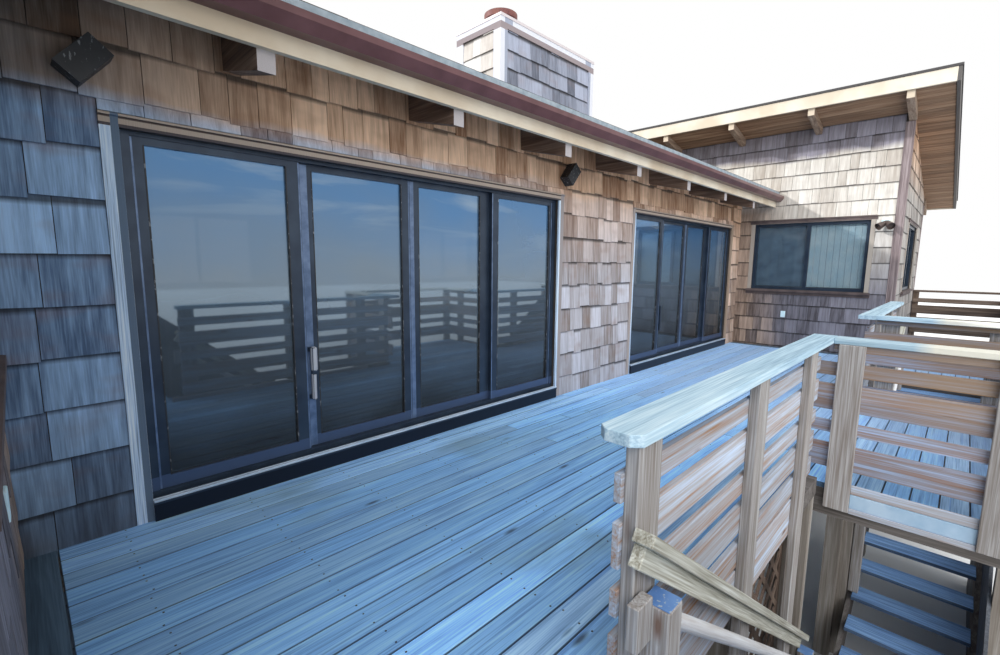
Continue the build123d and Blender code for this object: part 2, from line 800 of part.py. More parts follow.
with BuildPart() as bridge_end:
    x = bridge_half - 50
    rail_cap(-bridge_half - 25, bridge_half + 25, landing_front)
    rail_posts([(-x, 180), (x, 180)], landing_front)
    rail_slats(-x - 70, x + 70, landing_front, bridge_slats)
save(bridge_end, "bridge_end_railing")

# Two open-riser flights that meet on a low platform under the bridge
slope = riser / going
for side, s in (("left", -1), ("right", 1)):
    with BuildPart() as flight:
        for k in range(1, treads + 1):
            top = deck_z - k * riser
            a = stair_start - (k - 1) * going
            b = a - going + nosing_gap
            board(s * a, s * b, stair_far + stringer_t, stair_near - stringer_t, top - plank_t, top)
    save(flight, side + "_stair_treads")

stair_foot = stair_start - treads * going
with BuildPart() as stringers:
    for s in (-1, 1):
        xa, xb = stair_start, stair_foot
        za = deck_z - riser
        zb = deck_z - (treads + 1) * riser
        for y0 in (stair_near - stringer_t, stair_far):
            profile = [(s * xa, za - 250), (s * xa, za + 60), (s * xb, zb + 60), (s * xb, 0), (s * (xb + 200), 0)]
            along_y(profile[::-s], y0, y0 + stringer_t)
save(stringers, "stair_stringers")

with BuildPart() as platform:
    t = lumber_t
    top = deck_z - (treads + 1) * riser
    board(-stair_foot, stair_foot, stair_far, stair_near, top - plank_t, top)
    for x in (t / 2 - stair_foot, 0, stair_foot - t / 2):
        board(x - t / 2, x + t / 2, stair_far, stair_near, 0, top - plank_t)
save(platform, "foot_platform")

# Boarded screens along the outer side of each flight
with BuildPart() as screens:
    for s in (-1, 1):
        xa, xb = stair_start, stair_foot
        za = deck_z
        zb = deck_z - (treads + 1) * riser
        profile = [(s * xa, 0), (s * xa, za + 900), (s * xb, zb + 900), (s * xb, 0)]
        along_y(profile[::-s], stair_far - 25, stair_far)
save(screens, "stair_outer_screens")

# Handrail on the railing posts, and a round pole between two newels below it
pole_end = corner_post_x - 273
with BuildPart() as handrails:
    for s in (-1, 1):
        xa = near_post_x + 85
        xb = bridge_half + 115
        xc = xb + 115
        za = deck_z + handrail_rise
        lift = cap_t / 0.8087
        deep = handrail_w / 0.8087
        cap = [(xa, za - lift), (xa, za), (xb, za - slope * (xa - xb)), (xb, za - slope * (xa - xb) - lift)]
        along_y([(s * x, z) for x, z in cap][::-s], post_face - handrail_w, post_face)
        zc = za - lift
        rail = [(xa, zc - deep), (xa, zc), (xc, zc - slope * (xa - xc)), (xc, zc - slope * (xa - xc) - deep)]
        along_y([(s * x, z) for x, z in rail][::-s], post_face - lumber_t, post_face)
        # upper newel on the first tread and lower newel on the tenth
        yb = deck_front - slim_post
        ya = yb - slim_post
        xn = near_post_x + 34
        board(s * xn, s * (xn - slim_post), ya, yb, deck_z - riser, deck_z + newel_rise)
        board(s * xn, s * (xn + 86), yb - lumber_t, yb, deck_z + newel_rise - 110, deck_z + newel_rise + 30)
        x_top = xn - slim_post
        z_top = deck_z + newel_rise - 79
        run = x_top - pole_end
        z_low = z_top - slope * run
        board(s * pole_end, s * (pole_end - slim_post), ya, yb, deck_z - 10 * riser, z_low + 60)
        with BuildSketch(Plane.YZ.offset(s * x_top)) as pole:
            with Locations((ya + 26, z_top)):
                Ellipse(pole_r, pole_r / 0.8087)
        fall = slope * run
        length = (run * run + fall * fall) ** 0.5
        extrude(pole.sketch, amount=length, dir=(-s * run, 0, -fall))
save(handrails, "stair_handrails")

# Speakers turned on edge, high on the court wall on both sides of the left door
with BuildPart() as speakers:
    left_edge = door_left[0] - door_left[1] / 2
    right_edge = door_left[0] + door_left[1] / 2
    for x in (left_edge - speaker_gap, right_edge + speaker_gap):
        with BuildSketch(Plane.XZ.offset(-court_face)) as face:
            with Locations((x, deck_z + speaker_z)):
                Rectangle(*speaker_size, rotation=49)
        extrude(face.sketch, amount=speaker_t)
save(speakers, "wall_speakers")
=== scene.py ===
import math
import bpy
import numpy as np
from mathutils import Matrix, Vector


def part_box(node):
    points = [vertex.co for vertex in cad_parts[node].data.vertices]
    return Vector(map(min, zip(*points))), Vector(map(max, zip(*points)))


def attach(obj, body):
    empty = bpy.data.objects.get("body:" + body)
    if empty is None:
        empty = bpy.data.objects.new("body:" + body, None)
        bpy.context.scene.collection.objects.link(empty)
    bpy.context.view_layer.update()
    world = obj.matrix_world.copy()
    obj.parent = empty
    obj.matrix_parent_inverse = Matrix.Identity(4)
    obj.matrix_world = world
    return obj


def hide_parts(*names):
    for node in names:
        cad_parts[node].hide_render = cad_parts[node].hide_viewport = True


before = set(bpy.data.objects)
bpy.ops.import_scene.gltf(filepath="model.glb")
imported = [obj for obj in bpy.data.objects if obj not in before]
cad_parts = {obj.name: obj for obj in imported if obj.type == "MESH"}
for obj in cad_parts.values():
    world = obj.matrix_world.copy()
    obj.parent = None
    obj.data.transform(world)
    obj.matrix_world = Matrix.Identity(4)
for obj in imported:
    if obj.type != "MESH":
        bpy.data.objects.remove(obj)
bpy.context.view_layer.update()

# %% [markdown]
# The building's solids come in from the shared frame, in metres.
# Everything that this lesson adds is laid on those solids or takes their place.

RNG = np.random.default_rng(11)

# %% [markdown]
# Some measures of the building come back all through the lesson, so they get their names first.
# X runs along the court wall, Y into the building and Z up, and 0 is on the ground in the middle of the court wall.

# %% Measures
STOREY = 2.75  # from the ground to the deck, and from storey to storey
DECK_Z = STOREY
RISERS = 14
TREAD_RUN = 0.27
HALF_COURT = 4.91  # from the middle to the wall of a wing
WING_OUT = 8.57  # from the middle to the outer wall of a wing
WING_FRONT = -2.38
HALF_BRIDGE = 1.05
FLIGHT_HEAD = 3.75  # where a flight leaves the deck, from the middle
COURT_EDGE = -2.513  # where the planks of the court end
DECK_FRONT = -3.76  # where the planks of the bridge and the front decks end
WALL_FACE = -0.02  # of the court wall, under its shingles
BACK = 6.1
RIDGE = 3.05
PITCH = 0.25  # how far every roof rises in a metre
SIDES = (("left", -1), ("right", 1))
print("one riser is", STOREY / RISERS)

# %% [markdown]
# The camera stands on the front deck of the left wing and looks across the court.
# Its turn was worked out from the building's long straight edges, so the picture's lines fall on the solids' edges.

# %% Camera
def camera_turn(yaw, pitch, roll):
    yaw, pitch, roll = math.radians(yaw), math.radians(pitch), math.radians(roll)
    ahead = Vector((math.sin(yaw) * math.cos(pitch), math.cos(yaw) * math.cos(pitch), -math.sin(pitch)))
    level = Vector((math.cos(yaw), -math.sin(yaw), 0))
    down = ahead.cross(level)
    side = level * math.cos(roll) + down * math.sin(roll)
    low = down * math.cos(roll) - level * math.sin(roll)
    return Matrix((side, -low, -ahead)).transposed()


cam_data = bpy.data.cameras.new("camera")
cam_data.sensor_width = 36
cam_data.lens = 17.107
camera = bpy.data.objects.new("camera", cam_data)
bpy.context.collection.objects.link(camera)
camera.matrix_world = Matrix.Translation((-4.81, -3.193, 4.21)) @ camera_turn(45.655, 7.63, -0.553).to_4x4()
bpy.context.scene.camera = camera
print("camera at", tuple(camera.location))

# %% [markdown]
# A finish is a small tree of nodes. These helpers add the nodes that every finish here needs:
# a little arithmetic, a stretched noise, a ramp of colours and a mix of two.
# A socket's id_data is the tree that it belongs to, so most of them need no tree of their own.

# %% Node helpers
def feed(socket, value):
    """Links a socket to another node's output, or sets its own number or colour."""
    if isinstance(value, bpy.types.NodeSocket):
        socket.id_data.links.new(value, socket)
    else:
        socket.default_value = (*value, 1) if socket.type == "RGBA" else value


def add_node(tree, kind, **sockets):
    node = tree.nodes.new(kind)
    for name, value in sockets.items():
        feed(node.inputs[name.replace("_", " ")], value)
    return node


def reckon(kind, first, second=0.0):
    node = first.id_data.nodes.new("ShaderNodeMath")
    node.operation = kind
    for socket, value in zip(node.inputs, (first, second)):
        feed(socket, value)
    return node.outputs[0]


def times(first, second):
    return reckon("MULTIPLY", first, second)


def plus(first, second):
    return reckon("ADD", first, second)


def stretch_to(value, low, high, new_low=0.0, new_high=1.0):
    """Runs from new_low to new_high while the value runs from low to high."""
    return add_node(value.id_data, "ShaderNodeMapRange", Value=value, From_Min=low, From_Max=high,
                    To_Min=new_low, To_Max=new_high).outputs[0]


def stretched(place, scale):
    return add_node(place.id_data, "ShaderNodeMapping", Vector=place, Scale=scale).outputs[0]


def noise(place, scale, detail=4.0, warp=0.0):
    return add_node(place.id_data, "ShaderNodeTexNoise", Vector=stretched(place, scale), Scale=1.0, Detail=detail,
                    Distortion=warp).outputs["Fac"]


# %% Colour helpers
def ramp(value, *stops):
    node = add_node(value.id_data, "ShaderNodeValToRGB", Fac=value)
    marks = node.color_ramp.elements
    while len(marks) < len(stops):
        marks.new(0.5)
    for mark, (spot, colour) in zip(marks, stops):
        mark.position = spot
        mark.color = (*colour, 1)
    return node.outputs["Color"]


def from_pair(value, pair, low=0.36, high=0.76):
    """A colour between the dark and the light one of a pair."""
    return ramp(value, (low, pair[0]), (high, pair[1]))


def blend_colours(share, first, second):
    node = share.id_data.nodes.new("ShaderNodeMix")
    node.data_type = "RGBA"
    for index, value in ((0, share), (6, first), (7, second)):  # 6 and 7 are the sockets for colours
        feed(node.inputs[index], value)
    return node.outputs[2]


# %% Finish helpers
def new_finish(name, rough, metal=0.0):
    finish = bpy.data.materials.new(name)
    finish.use_nodes = True
    shader = finish.node_tree.nodes["Principled BSDF"]
    shader.inputs["Roughness"].default_value = rough
    shader.inputs["Metallic"].default_value = metal
    return finish, finish.node_tree, shader


def complete(shader, colour, height, strength, depth):
    """Gives a shader its colour and the relief that a height makes."""
    feed(shader.inputs["Base Color"], colour)
    bump = add_node(height.id_data, "ShaderNodeBump", Height=height, Strength=strength, Distance=depth)
    feed(shader.inputs["Normal"], bump.outputs[0])


def lay_over(finish, share, colour):
    """Mixes a share of another colour over the one that a finish has."""
    base = finish.node_tree.nodes["Principled BSDF"].inputs["Base Color"]
    feed(base, blend_colours(share, base.links[0].from_socket, colour))


# %% [markdown]
# A pattern has to know where a point lies along the grain. On a laid board the grain is an attribute of the mesh,
# so it follows the board whichever way the board runs. Each board also has a tone of its own, from 0 to 1,
# and a height, which tells the flat faces of a board, or how far up a shingle a point is.

# %% Places
def attribute(tree, name, output="Fac"):
    node = add_node(tree, "ShaderNodeAttribute")
    node.attribute_name = name
    return node.outputs[output]


def axes_of(place):
    return add_node(place.id_data, "ShaderNodeSeparateXYZ", Vector=place).outputs


def place_of(tree, way="x"):
    """A vector whose x runs along the grain."""
    if way == "grain":
        return attribute(tree, "grain", "Vector")
    place = add_node(tree, "ShaderNodeTexCoord").outputs["Object"]
    if way == "x":
        return place
    x, y, z = axes_of(place)
    order = (y, x, z) if way == "y" else (z, x, y)
    return add_node(tree, "ShaderNodeCombineXYZ", X=order[0], Y=order[1], Z=order[2]).outputs[0]


# %% [markdown]
# Weathered timber shows three things: broad bands of early and late wood, fine fibres, and knots.
# Each board also has a tone of its own, so that no two neighbours look sawn from one plank.

# %% Timber finish
def timber(name, dark, middle, light, way="grain", knots=0.5, spread=0.2, depth=0.003, knot=(0.10, 0.06, 0.04),
           cracks=0.0, other=None, streak=(0.45, 0.3, 0.25), edges=False):
    """streak is how much the broad bands, narrow bands and fibres count, and other a pair that some boards have."""
    finish, tree, shader = new_finish(name, 0.8)
    place = place_of(tree, way)
    broad = noise(place, (0.8, 13, 13), 3, 1.2)
    bands = noise(place, (0.5, 42, 42), 3, 0.8)
    fibre = noise(place, (3.5, 150, 150), 3)
    mixed = plus(times(broad, streak[0]), times(bands, streak[1]))
    mixed = plus(mixed, times(fibre, streak[2]))
    colour = ramp(mixed, (0.36, dark), (0.5, middle), (0.64, light))
    if other:
        chance = reckon("FRACT", times(attribute(tree, "tone"), 7.31))
        share = stretch_to(chance, 0.45, 1.0, 0.0, 0.7)
        colour = blend_colours(share, colour, from_pair(mixed, other, 0.38, 0.6))
    if cracks:
        lines = noise(place, (0.7, 55, 55), 4, 0.4)
        colour = blend_colours(stretch_to(lines, 0.60, 0.66, 0.0, cracks), colour, dark)
    if knots:
        cells = add_node(tree, "ShaderNodeTexVoronoi", Vector=stretched(place, (1.5, 5.5, 5.5)), Scale=1.0)
        colour = blend_colours(stretch_to(cells.outputs["Distance"], 0.03, 0.1, knots, 0.0), colour, knot)
    if way == "grain":
        value = stretch_to(attribute(tree, "tone"), 0, 1, 1 - spread, 1 + spread)
        colour = add_node(tree, "ShaderNodeHueSaturation", Value=value, Color=colour).outputs[0]
    # The edges of a board darken to a painted shade, so the gaps between boards read dark.
    if edges:
        gap_shade = stretch_to(attribute(tree, "height"), 0.3, 0.9, 0.8, 0.0)
        colour = blend_colours(gap_shade, colour, (0.03, 0.045, 0.07))
    complete(shader, colour, fibre, 0.5, depth)
    return finish


# %% Deck and railing timbers
FIBROUS = (0.2, 0.35, 0.45)
EVEN = (0.35, 0.35, 0.3)
DECK = timber("deck_timber", (0.14, 0.31, 0.64), (0.26, 0.56, 1.0), (0.42, 0.76, 1.0), knots=0.85, spread=0.24,
              depth=0.004, knot=(0.03, 0.05, 0.09), cracks=0.8, other=((0.14, 0.24, 0.37), (0.43, 0.60, 0.80)),
              streak=(0.22, 0.33, 0.45), edges=True)
DECK_EDGE = timber("deck_edge_timber", (0.035, 0.06, 0.09), (0.07, 0.125, 0.19), (0.12, 0.20, 0.29), knots=0.3)
CAP = timber("cap_timber", (0.24, 0.37, 0.48), (0.42, 0.59, 0.70), (0.66, 0.79, 0.85), knots=0.6, spread=0.1,
             depth=0.002, cracks=0.3, streak=(0.25, 0.35, 0.4))
POST = timber("post_timber", (0.20, 0.165, 0.14), (0.32, 0.30, 0.29), (0.50, 0.49, 0.49), knots=0.85,
              knot=(0.12, 0.055, 0.03), cracks=0.6, streak=(0.2, 0.3, 0.5))
HANDRAIL = timber("handrail_timber", (0.22, 0.20, 0.15), (0.48, 0.47, 0.40), (0.74, 0.75, 0.70), spread=0.12,
                  cracks=0.6, streak=FIBROUS)
SLAT = timber("slat_timber", (0.35, 0.18, 0.085), (0.40, 0.41, 0.45), (0.52, 0.62, 0.78), knots=0.95, spread=0.14,
              knot=(0.16, 0.07, 0.035), cracks=0.3, streak=EVEN)
BRIDGE_SLAT = timber("bridge_slat_timber", (0.28, 0.13, 0.055), (0.27, 0.25, 0.28), (0.36, 0.46, 0.66), knots=0.9,
                     spread=0.25, knot=(0.08, 0.035, 0.02), cracks=0.4, streak=EVEN)
# The end railings get a dark brown that is painted shade.
SHADED_END_RAIL = timber("shaded_end_rail_timber", (0.055, 0.035, 0.025), (0.13, 0.09, 0.065), (0.24, 0.18, 0.14), knots=0.4,
                  spread=0.25)
TREAD = timber("tread_timber", (0.085, 0.17, 0.33), (0.20, 0.38, 0.72), (0.38, 0.62, 0.92), knots=0.6, spread=0.15,
               cracks=0.6, streak=FIBROUS, edges=True)
POLE = timber("pole_timber", (0.46, 0.42, 0.40), (0.64, 0.64, 0.66), (0.80, 0.83, 0.87), knots=0.3, spread=0.1)
print("deck and railing timbers", len(bpy.data.materials))

# %% Other timbers
FRAME_TONES = ((0.06, 0.05, 0.045), (0.13, 0.115, 0.105), (0.22, 0.20, 0.19))
FRAME_X = timber("frame_timber_x", *FRAME_TONES, way="x", knots=0.3)
FRAME_Y = timber("frame_timber_y", *FRAME_TONES, way="y", knots=0.3)
PILE = timber("pile_timber", (0.16, 0.13, 0.10), (0.27, 0.24, 0.21), (0.42, 0.39, 0.36), way="z", knots=0.6)
TAIL_X = timber("tail_timber_x", (0.16, 0.10, 0.07), (0.30, 0.21, 0.15), (0.46, 0.36, 0.28), way="x", knots=0.3)
TAIL_Y = timber("tail_timber_y", (0.085, 0.05, 0.035), (0.18, 0.11, 0.075), (0.32, 0.22, 0.16), way="y", knots=0.3)
SOFFIT = timber("soffit_timber", (0.14, 0.075, 0.04), (0.27, 0.16, 0.095), (0.42, 0.28, 0.18), knots=0.4, spread=0.22)
FLOOR_WOOD = timber("floor_timber", (0.13, 0.09, 0.06), (0.22, 0.16, 0.11), (0.30, 0.23, 0.17), way="x", knots=0.2)
LATTICE = timber("lattice_timber", (0.07, 0.045, 0.03), (0.15, 0.10, 0.075), (0.24, 0.18, 0.14), way="z", knots=0.1)
SCREEN = timber("screen_timber", (0.05, 0.055, 0.065), (0.10, 0.11, 0.13), (0.19, 0.21, 0.24), way="z", knots=0.4)
# The dark under the shingles is painted shade for the gaps between them.
UNDERLAY_SHADE = timber("under_shingles_shade", (0.02, 0.017, 0.015), (0.045, 0.036, 0.03), (0.08, 0.065, 0.055), way="z", knots=0)
CASING = timber("old_casing_paint", (0.14, 0.19, 0.26), (0.52, 0.67, 0.86), (0.90, 0.97, 1.0), way="z", knots=0,
                streak=FIBROUS)
GREY_TRIM = timber("grey_trim", (0.10, 0.075, 0.075), (0.24, 0.185, 0.185), (0.42, 0.35, 0.35), way="z", knots=0,
                   streak=(0.3, 0.3, 0.4))
print("timber finishes", len(bpy.data.materials))

# %% [markdown]
# Paint, metal and plastic need less: a colour that drifts a little, and for old paint some flaking.

# %% Coat finish
def coat(name, colour, other, rough, metal=0.0, scale=6.0, flake=0.0, bare=(0.2, 0.2, 0.2)):
    """The colour drifts to another, and where the paint flakes the bare colour shows."""
    finish, tree, shader = new_finish(name, rough, metal)
    place = place_of(tree)
    mixed = ramp(noise(place, (scale, scale, scale), 4), (0.35, colour), (0.65, other))
    if flake:
        chips = noise(place, (70, 70, 26), 6)
        share = stretch_to(chips, 0.62 - flake * 0.2, 0.66 - flake * 0.2)
        complete(shader, blend_colours(share, mixed, bare), share, 0.3, 0.001)
    else:
        complete(shader, mixed, noise(place, (90, 90, 90), 2), 0.12, 0.001)
    return finish


# %% Metals, paints and plastics
DOOR_METAL = coat("door_metal", (0.024, 0.038, 0.064), (0.040, 0.060, 0.092), 0.36, 0.4)
STILE_EDGE = coat("stile_edge_metal", (0.09, 0.14, 0.24), (0.17, 0.24, 0.38), 0.35, 0.4, scale=14.0)
BRIGHT_METAL = coat("bright_metal", (0.50, 0.62, 0.76), (0.66, 0.76, 0.88), 0.35, 0.3)
DRIP_METAL = coat("drip_metal", (0.24, 0.30, 0.35), (0.38, 0.44, 0.49), 0.6, 0.2, scale=14.0)
BRONZE = coat("lamp_metal", (0.07, 0.05, 0.045), (0.12, 0.09, 0.08), 0.5, 0.3)
GUTTER = coat("gutter_paint", (0.105, 0.042, 0.045), (0.15, 0.065, 0.07), 0.3, 0.1)
FLUE = coat("flue_metal", (0.16, 0.055, 0.05), (0.26, 0.11, 0.085), 0.6, 0.2, flake=0.12, bare=(0.09, 0.03, 0.03))
WINDOW_CASING = coat("window_casing", (0.075, 0.055, 0.055), (0.13, 0.095, 0.09), 0.75)
CREAM = coat("cream_paint", (0.62, 0.50, 0.36), (0.80, 0.71, 0.57), 0.7, scale=2.0)
ROOF_TRIM = coat("roof_trim_paint", (0.66, 0.56, 0.43), (0.80, 0.73, 0.61), 0.7, scale=2.0)
BLUE_PAINT = coat("blue_paint", (0.09, 0.20, 0.46), (0.20, 0.36, 0.66), 0.5, flake=0.1, bare=(0.35, 0.42, 0.5))
WHITE = coat("white_board", (0.31, 0.48, 0.66), (0.48, 0.63, 0.78), 0.7)
CONCRETE = coat("slab", (0.34, 0.33, 0.31), (0.46, 0.45, 0.43), 0.9, scale=3.0)
PLASTIC = coat("black_plastic", (0.014, 0.015, 0.018), (0.028, 0.03, 0.034), 0.5, flake=0.08, bare=(0.2, 0.21, 0.22))
CREAM_PLASTIC = coat("cream_plastic", (0.42, 0.44, 0.50), (0.50, 0.51, 0.55), 0.4)
BLIND = coat("blind_fabric", (0.60, 0.84, 0.94), (0.74, 0.93, 0.98), 0.8)
CURTAIN = coat("dark_curtain", (0.12, 0.18, 0.25), (0.18, 0.27, 0.36), 0.9)
print("finishes", len(bpy.data.materials))

# %% [markdown]
# Age works on a finish by place: a board bleaches in the sun, stays brown under an eave, and goes dull in the damp.
# So a second colour is laid over a finish between two heights, or between two distances from a middle.

# %% Colours by place
def recolour(finish, low, high, colour, axis="Z", middle=0.0, each_storey=False):
    """Between low and high on Z, on each storey or once. On X and Y they are distances from the middle."""
    spot = axes_of(place_of(finish.node_tree))[axis]
    if axis != "Z":
        spot = reckon("ABSOLUTE", reckon("SUBTRACT", spot, middle))
    if each_storey:
        spot = times(reckon("FRACT", reckon("DIVIDE", spot, STOREY)), STOREY)
    inside = times(reckon("GREATER_THAN", spot, low), reckon("LESS_THAN", spot, high))
    lay_over(finish, inside, colour)


# %% Doors and chimney cap
# The cap of the chimney is pale painted metal, and only the flue above it is red.
recolour(FLUE, 6.0, 6.8955, (0.66, 0.60, 0.61))
# Over a door the casing shows thin tan strips, with two thin dark lines of painted shade at the joints between them.
recolour(CASING, 2.13, 2.203, (0.46, 0.37, 0.30), each_storey=True)
recolour(CASING, 2.13, 2.145, (0.08, 0.065, 0.07), each_storey=True)
recolour(CASING, 2.172, 2.181, (0.10, 0.07, 0.06), each_storey=True)
# The inner half of the near casing lies in the shade of its own edge.
recolour(CASING, -1.0, 0.0165, (0.12, 0.17, 0.24), axis="X", middle=-4.382)
# Beside the wall between the doors only the casing's inner edge is pale.
recolour(CASING, -1.0, 0.0275, (0.34, 0.30, 0.29), axis="X", middle=-0.6525)
recolour(CASING, -1.0, 0.0275, (0.38, 0.32, 0.29), axis="X", middle=0.8775)
# Beside the far door the casing has stayed brown in the corner.
recolour(CASING, -1.0, 0.052, (0.36, 0.26, 0.19), axis="X", middle=4.47)
# The bottom rails of the sliding panels carry a painted reflection of the sky, and the sill under them is nearly
# black.
recolour(DOOR_METAL, 0.15, 0.228, (0.07, 0.105, 0.19), each_storey=True)
recolour(DOOR_METAL, 0.0, 0.1, (0.008, 0.012, 0.024), each_storey=True)
print("nodes in the casing's finish", len(CASING.node_tree.nodes))

# %% Trim and rafter tails
# Round the chimney the boards are painted pale, and beside a window they have bleached.
recolour(GREY_TRIM, 0.0, 1.0, (0.70, 0.71, 0.77), axis="X")
recolour(GREY_TRIM, 0.7, 0.825, (0.34, 0.37, 0.46), axis="X")
# Just under the chimney's cap the boards carry a painted shade.
recolour(GREY_TRIM, 6.74, 6.812, (0.30, 0.25, 0.26))
recolour(WINDOW_CASING, 1.052, 2.222, (0.42, 0.37, 0.32), each_storey=True)
# The boards along the sloping ends of the wing roofs have gone dark.
trim_low, trim_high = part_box("right_wing_roof_trim")
trim_middle = (trim_low.y + trim_high.y) / 2
trim_half = trim_high.y - trim_middle
recolour(ROOF_TRIM, trim_half - 0.0385, trim_half + 0.01, (0.10, 0.09, 0.085), axis="Y", middle=trim_middle)
# The sawn ends of the rafter tails have bleached.
recolour(TAIL_Y, 3.6115, 4.0, (0.46, 0.42, 0.42), axis="Y", middle=RIDGE)
recolour(TAIL_X, 3.0, 4.2405, (0.66, 0.55, 0.42), axis="X")
recolour(TAIL_X, 9.1695, 9.3, (0.66, 0.55, 0.42), axis="X")
print("nodes in the tails' finish", len(TAIL_X.node_tree.nodes))

# %% Bleached and damp boards
# Away from the near door the deck has bleached, and near it damp has left dull olive patches.
place = place_of(DECK.node_tree)
across = axes_of(place)["X"]
lay_over(DECK, stretch_to(across, -0.9, 1.2, 0.0, 0.4), (0.50, 0.66, 0.95))
damp = stretch_to(noise(place, (0.9, 1.6, 1.0), 4), 0.52, 0.68, 0.0, 0.5)
lay_over(DECK, times(damp, stretch_to(across, -2.6, -1.2, 1.0, 0.0)), (0.15, 0.23, 0.24))
# Where the caps stand out in the sun, their blue gives way to a painted cream sunlight.
lay_over(CAP, stretch_to(axes_of(place_of(CAP.node_tree))["Y"], -3.10, -3.0, 0.8, 0.0), (0.90, 0.83, 0.68))
# The upper slats of the bridge railing carry a painted yellow sunlight.
spot = axes_of(place_of(BRIDGE_SLAT.node_tree))
painted_sunlight = times(stretch_to(spot["Y"], -3.12, -2.98, 0.55, 0.35), stretch_to(spot["Z"], 3.2, 3.45))
lay_over(BRIDGE_SLAT, painted_sunlight, (0.38, 0.25, 0.13))
print("nodes in the deck's finish", len(DECK.node_tree.nodes))

# %% [markdown]
# Old tinted glass works as a dim blue mirror by day: it shows the deck and the railing, with the dark room behind. Its
# colour from sill to head is a painted reflection, dark low down and sky blue at the head, with pale streaks of cloud.

# %% Glass finishes
def tinted_glass(name, low, high, sky, see_through):
    """low, high and sky are the colours of a painted reflection from the sill of a storey to its head."""
    finish, tree, shader = new_finish(name, 0.03, 0.55)
    place = place_of(tree)
    height = plus(axes_of(place)["Z"], 0.02)
    level = reckon("FRACT", reckon("DIVIDE", height, STOREY))
    drift = times(noise(place, (1.2, 1.2, 2.2), 3), 0.22)
    colour = ramp(plus(level, drift), (0.2, low), (0.6, high), (0.86, sky))
    # Pale streaks of cloud near the head are a painted reflection.
    painted_cloud_reflection = stretch_to(noise(place, (0.9, 0.9, 5.0), 4, 0.5), 0.52, 0.68)
    painted_cloud_reflection = times(painted_cloud_reflection, stretch_to(level, 0.55, 0.75, 0.0, 0.6))
    feed(shader.inputs["Base Color"], blend_colours(painted_cloud_reflection, colour, (0.45, 0.55, 0.62)))
    shader.inputs["Alpha"].default_value = see_through
    return finish


DOOR_GLASS = tinted_glass("door_glass", (0.06, 0.065, 0.07), (0.23, 0.30, 0.37), (0.12, 0.27, 0.50), 0.84)
WINDOW_GLASS = tinted_glass("window_glass", (0.07, 0.12, 0.17), (0.11, 0.18, 0.24), (0.11, 0.18, 0.24), 0.25)
print("glass", DOOR_GLASS.name, WINDOW_GLASS.name)

# %% [markdown]
# Cedar shingles go silver grey in the open and stay brown where the eaves keep the rain off.
# Some colours are painted light: shade and sunlight on the wing's court wall, a sunlit chimney side, shade at the
# court's near end, and a shadow under each course.
# So the finish looks at how high and how far along the wall a point lies, then at the shingle's tone and its fibres.

# %% Shingle finish
WING_COURSE = 0.2505  # how far one course shows below the next
COURT_COURSE = 0.2568
CHIMNEY_COURSE = 0.19


def shingle_finish(name, near, far, across, brown_and_shade_pair, brown_and_shade_band, spread=0.35, step=WING_COURSE, tones=0.45,
                   shaded=None, corner=None):
    """near and far are (dark, light) pairs that change along across = (axis, from, to). brown_and_shade_pair is the
    pair above
    brown_and_shade_band: eave brown, and on the wing's court wall painted shade. shaded is the pair of painted shade
    at the near end of the court, and corner is (axis, from, to, pair)."""
    finish, tree, shader = new_finish(name, 0.85)
    place = place_of(tree, "grain")
    spot = axes_of(place_of(tree))
    fibre = noise(place, (2.0, 130, 130), 4)
    broad = noise(place, (2.2, 26, 26), 4)
    tone = attribute(tree, "tone")
    value = plus(times(tone, tones), times(fibre, 0.3))
    value = plus(value, times(broad, 0.82 - tones))
    share = stretch_to(spot[across[0]], across[1], across[2])
    colour = blend_colours(share, from_pair(value, near), from_pair(value, far))
    if corner:
        axis, begins, full, pair = corner
        ragged = plus(spot[axis], times(tone, 0.3))
        below = stretch_to(spot["Z"], 5.15, 5.35, 1.0, 0.0)
        share = times(stretch_to(ragged, begins, full, 0.0, 0.85), below)
        colour = blend_colours(share, colour, from_pair(value, pair))
    # On the wing's court wall this brown is the pair of painted shade under its eave.
    brown = from_pair(value, brown_and_shade_pair, 0.34, 0.78)
    level = plus(spot["Z"], times(noise(place_of(tree), (1.1, 1.1, 1.6), 3), 0.3))
    if shaded:
        # At the near end of the court the eave brown gives way to the shaded pair, a painted shade.
        near_end = stretch_to(spot["X"], -4.7, -3.6, 1.0, 0.0)
        brown = blend_colours(near_end, brown, from_pair(value, shaded))
        fade = times(stretch_to(level, 4.2, 5.35), stretch_to(spot["X"], -1.6, -0.5, 0.0, 0.8))
        colour = blend_colours(fade, colour, brown)
    colour = blend_colours(stretch_to(level, brown_and_shade_band[0] + 0.15, brown_and_shade_band[1] + 0.15), colour, brown)
    stain = stretch_to(noise(place, (6, 3, 3), 2), 0.52, 0.75, 0.0, spread)
    colour = blend_colours(stain, colour, brown_and_shade_pair[0])
    if shaded:
        # Low on the wall at the near end of the court the shingles darken to a painted shade.
        low = stretch_to(plus(spot["Z"], times(broad, 0.3)), 2.85, 3.65, 0.78, 0.0)
        low = times(low, stretch_to(spot["X"], -4.5, -2.0, 1.0, 0.3))
        colour = blend_colours(low, colour, (0.05, 0.055, 0.065))
    # Near its top each shingle darkens to a painted shadow under the butt of the next course.
    shade_under_next = stretch_to(attribute(tree, "height"), step - 0.03, step - 0.006, 0.0, 0.8)
    colour = blend_colours(shade_under_next, colour, (0.02, 0.016, 0.014))
    complete(shader, colour, fibre, 0.5, 0.003)
    return finish


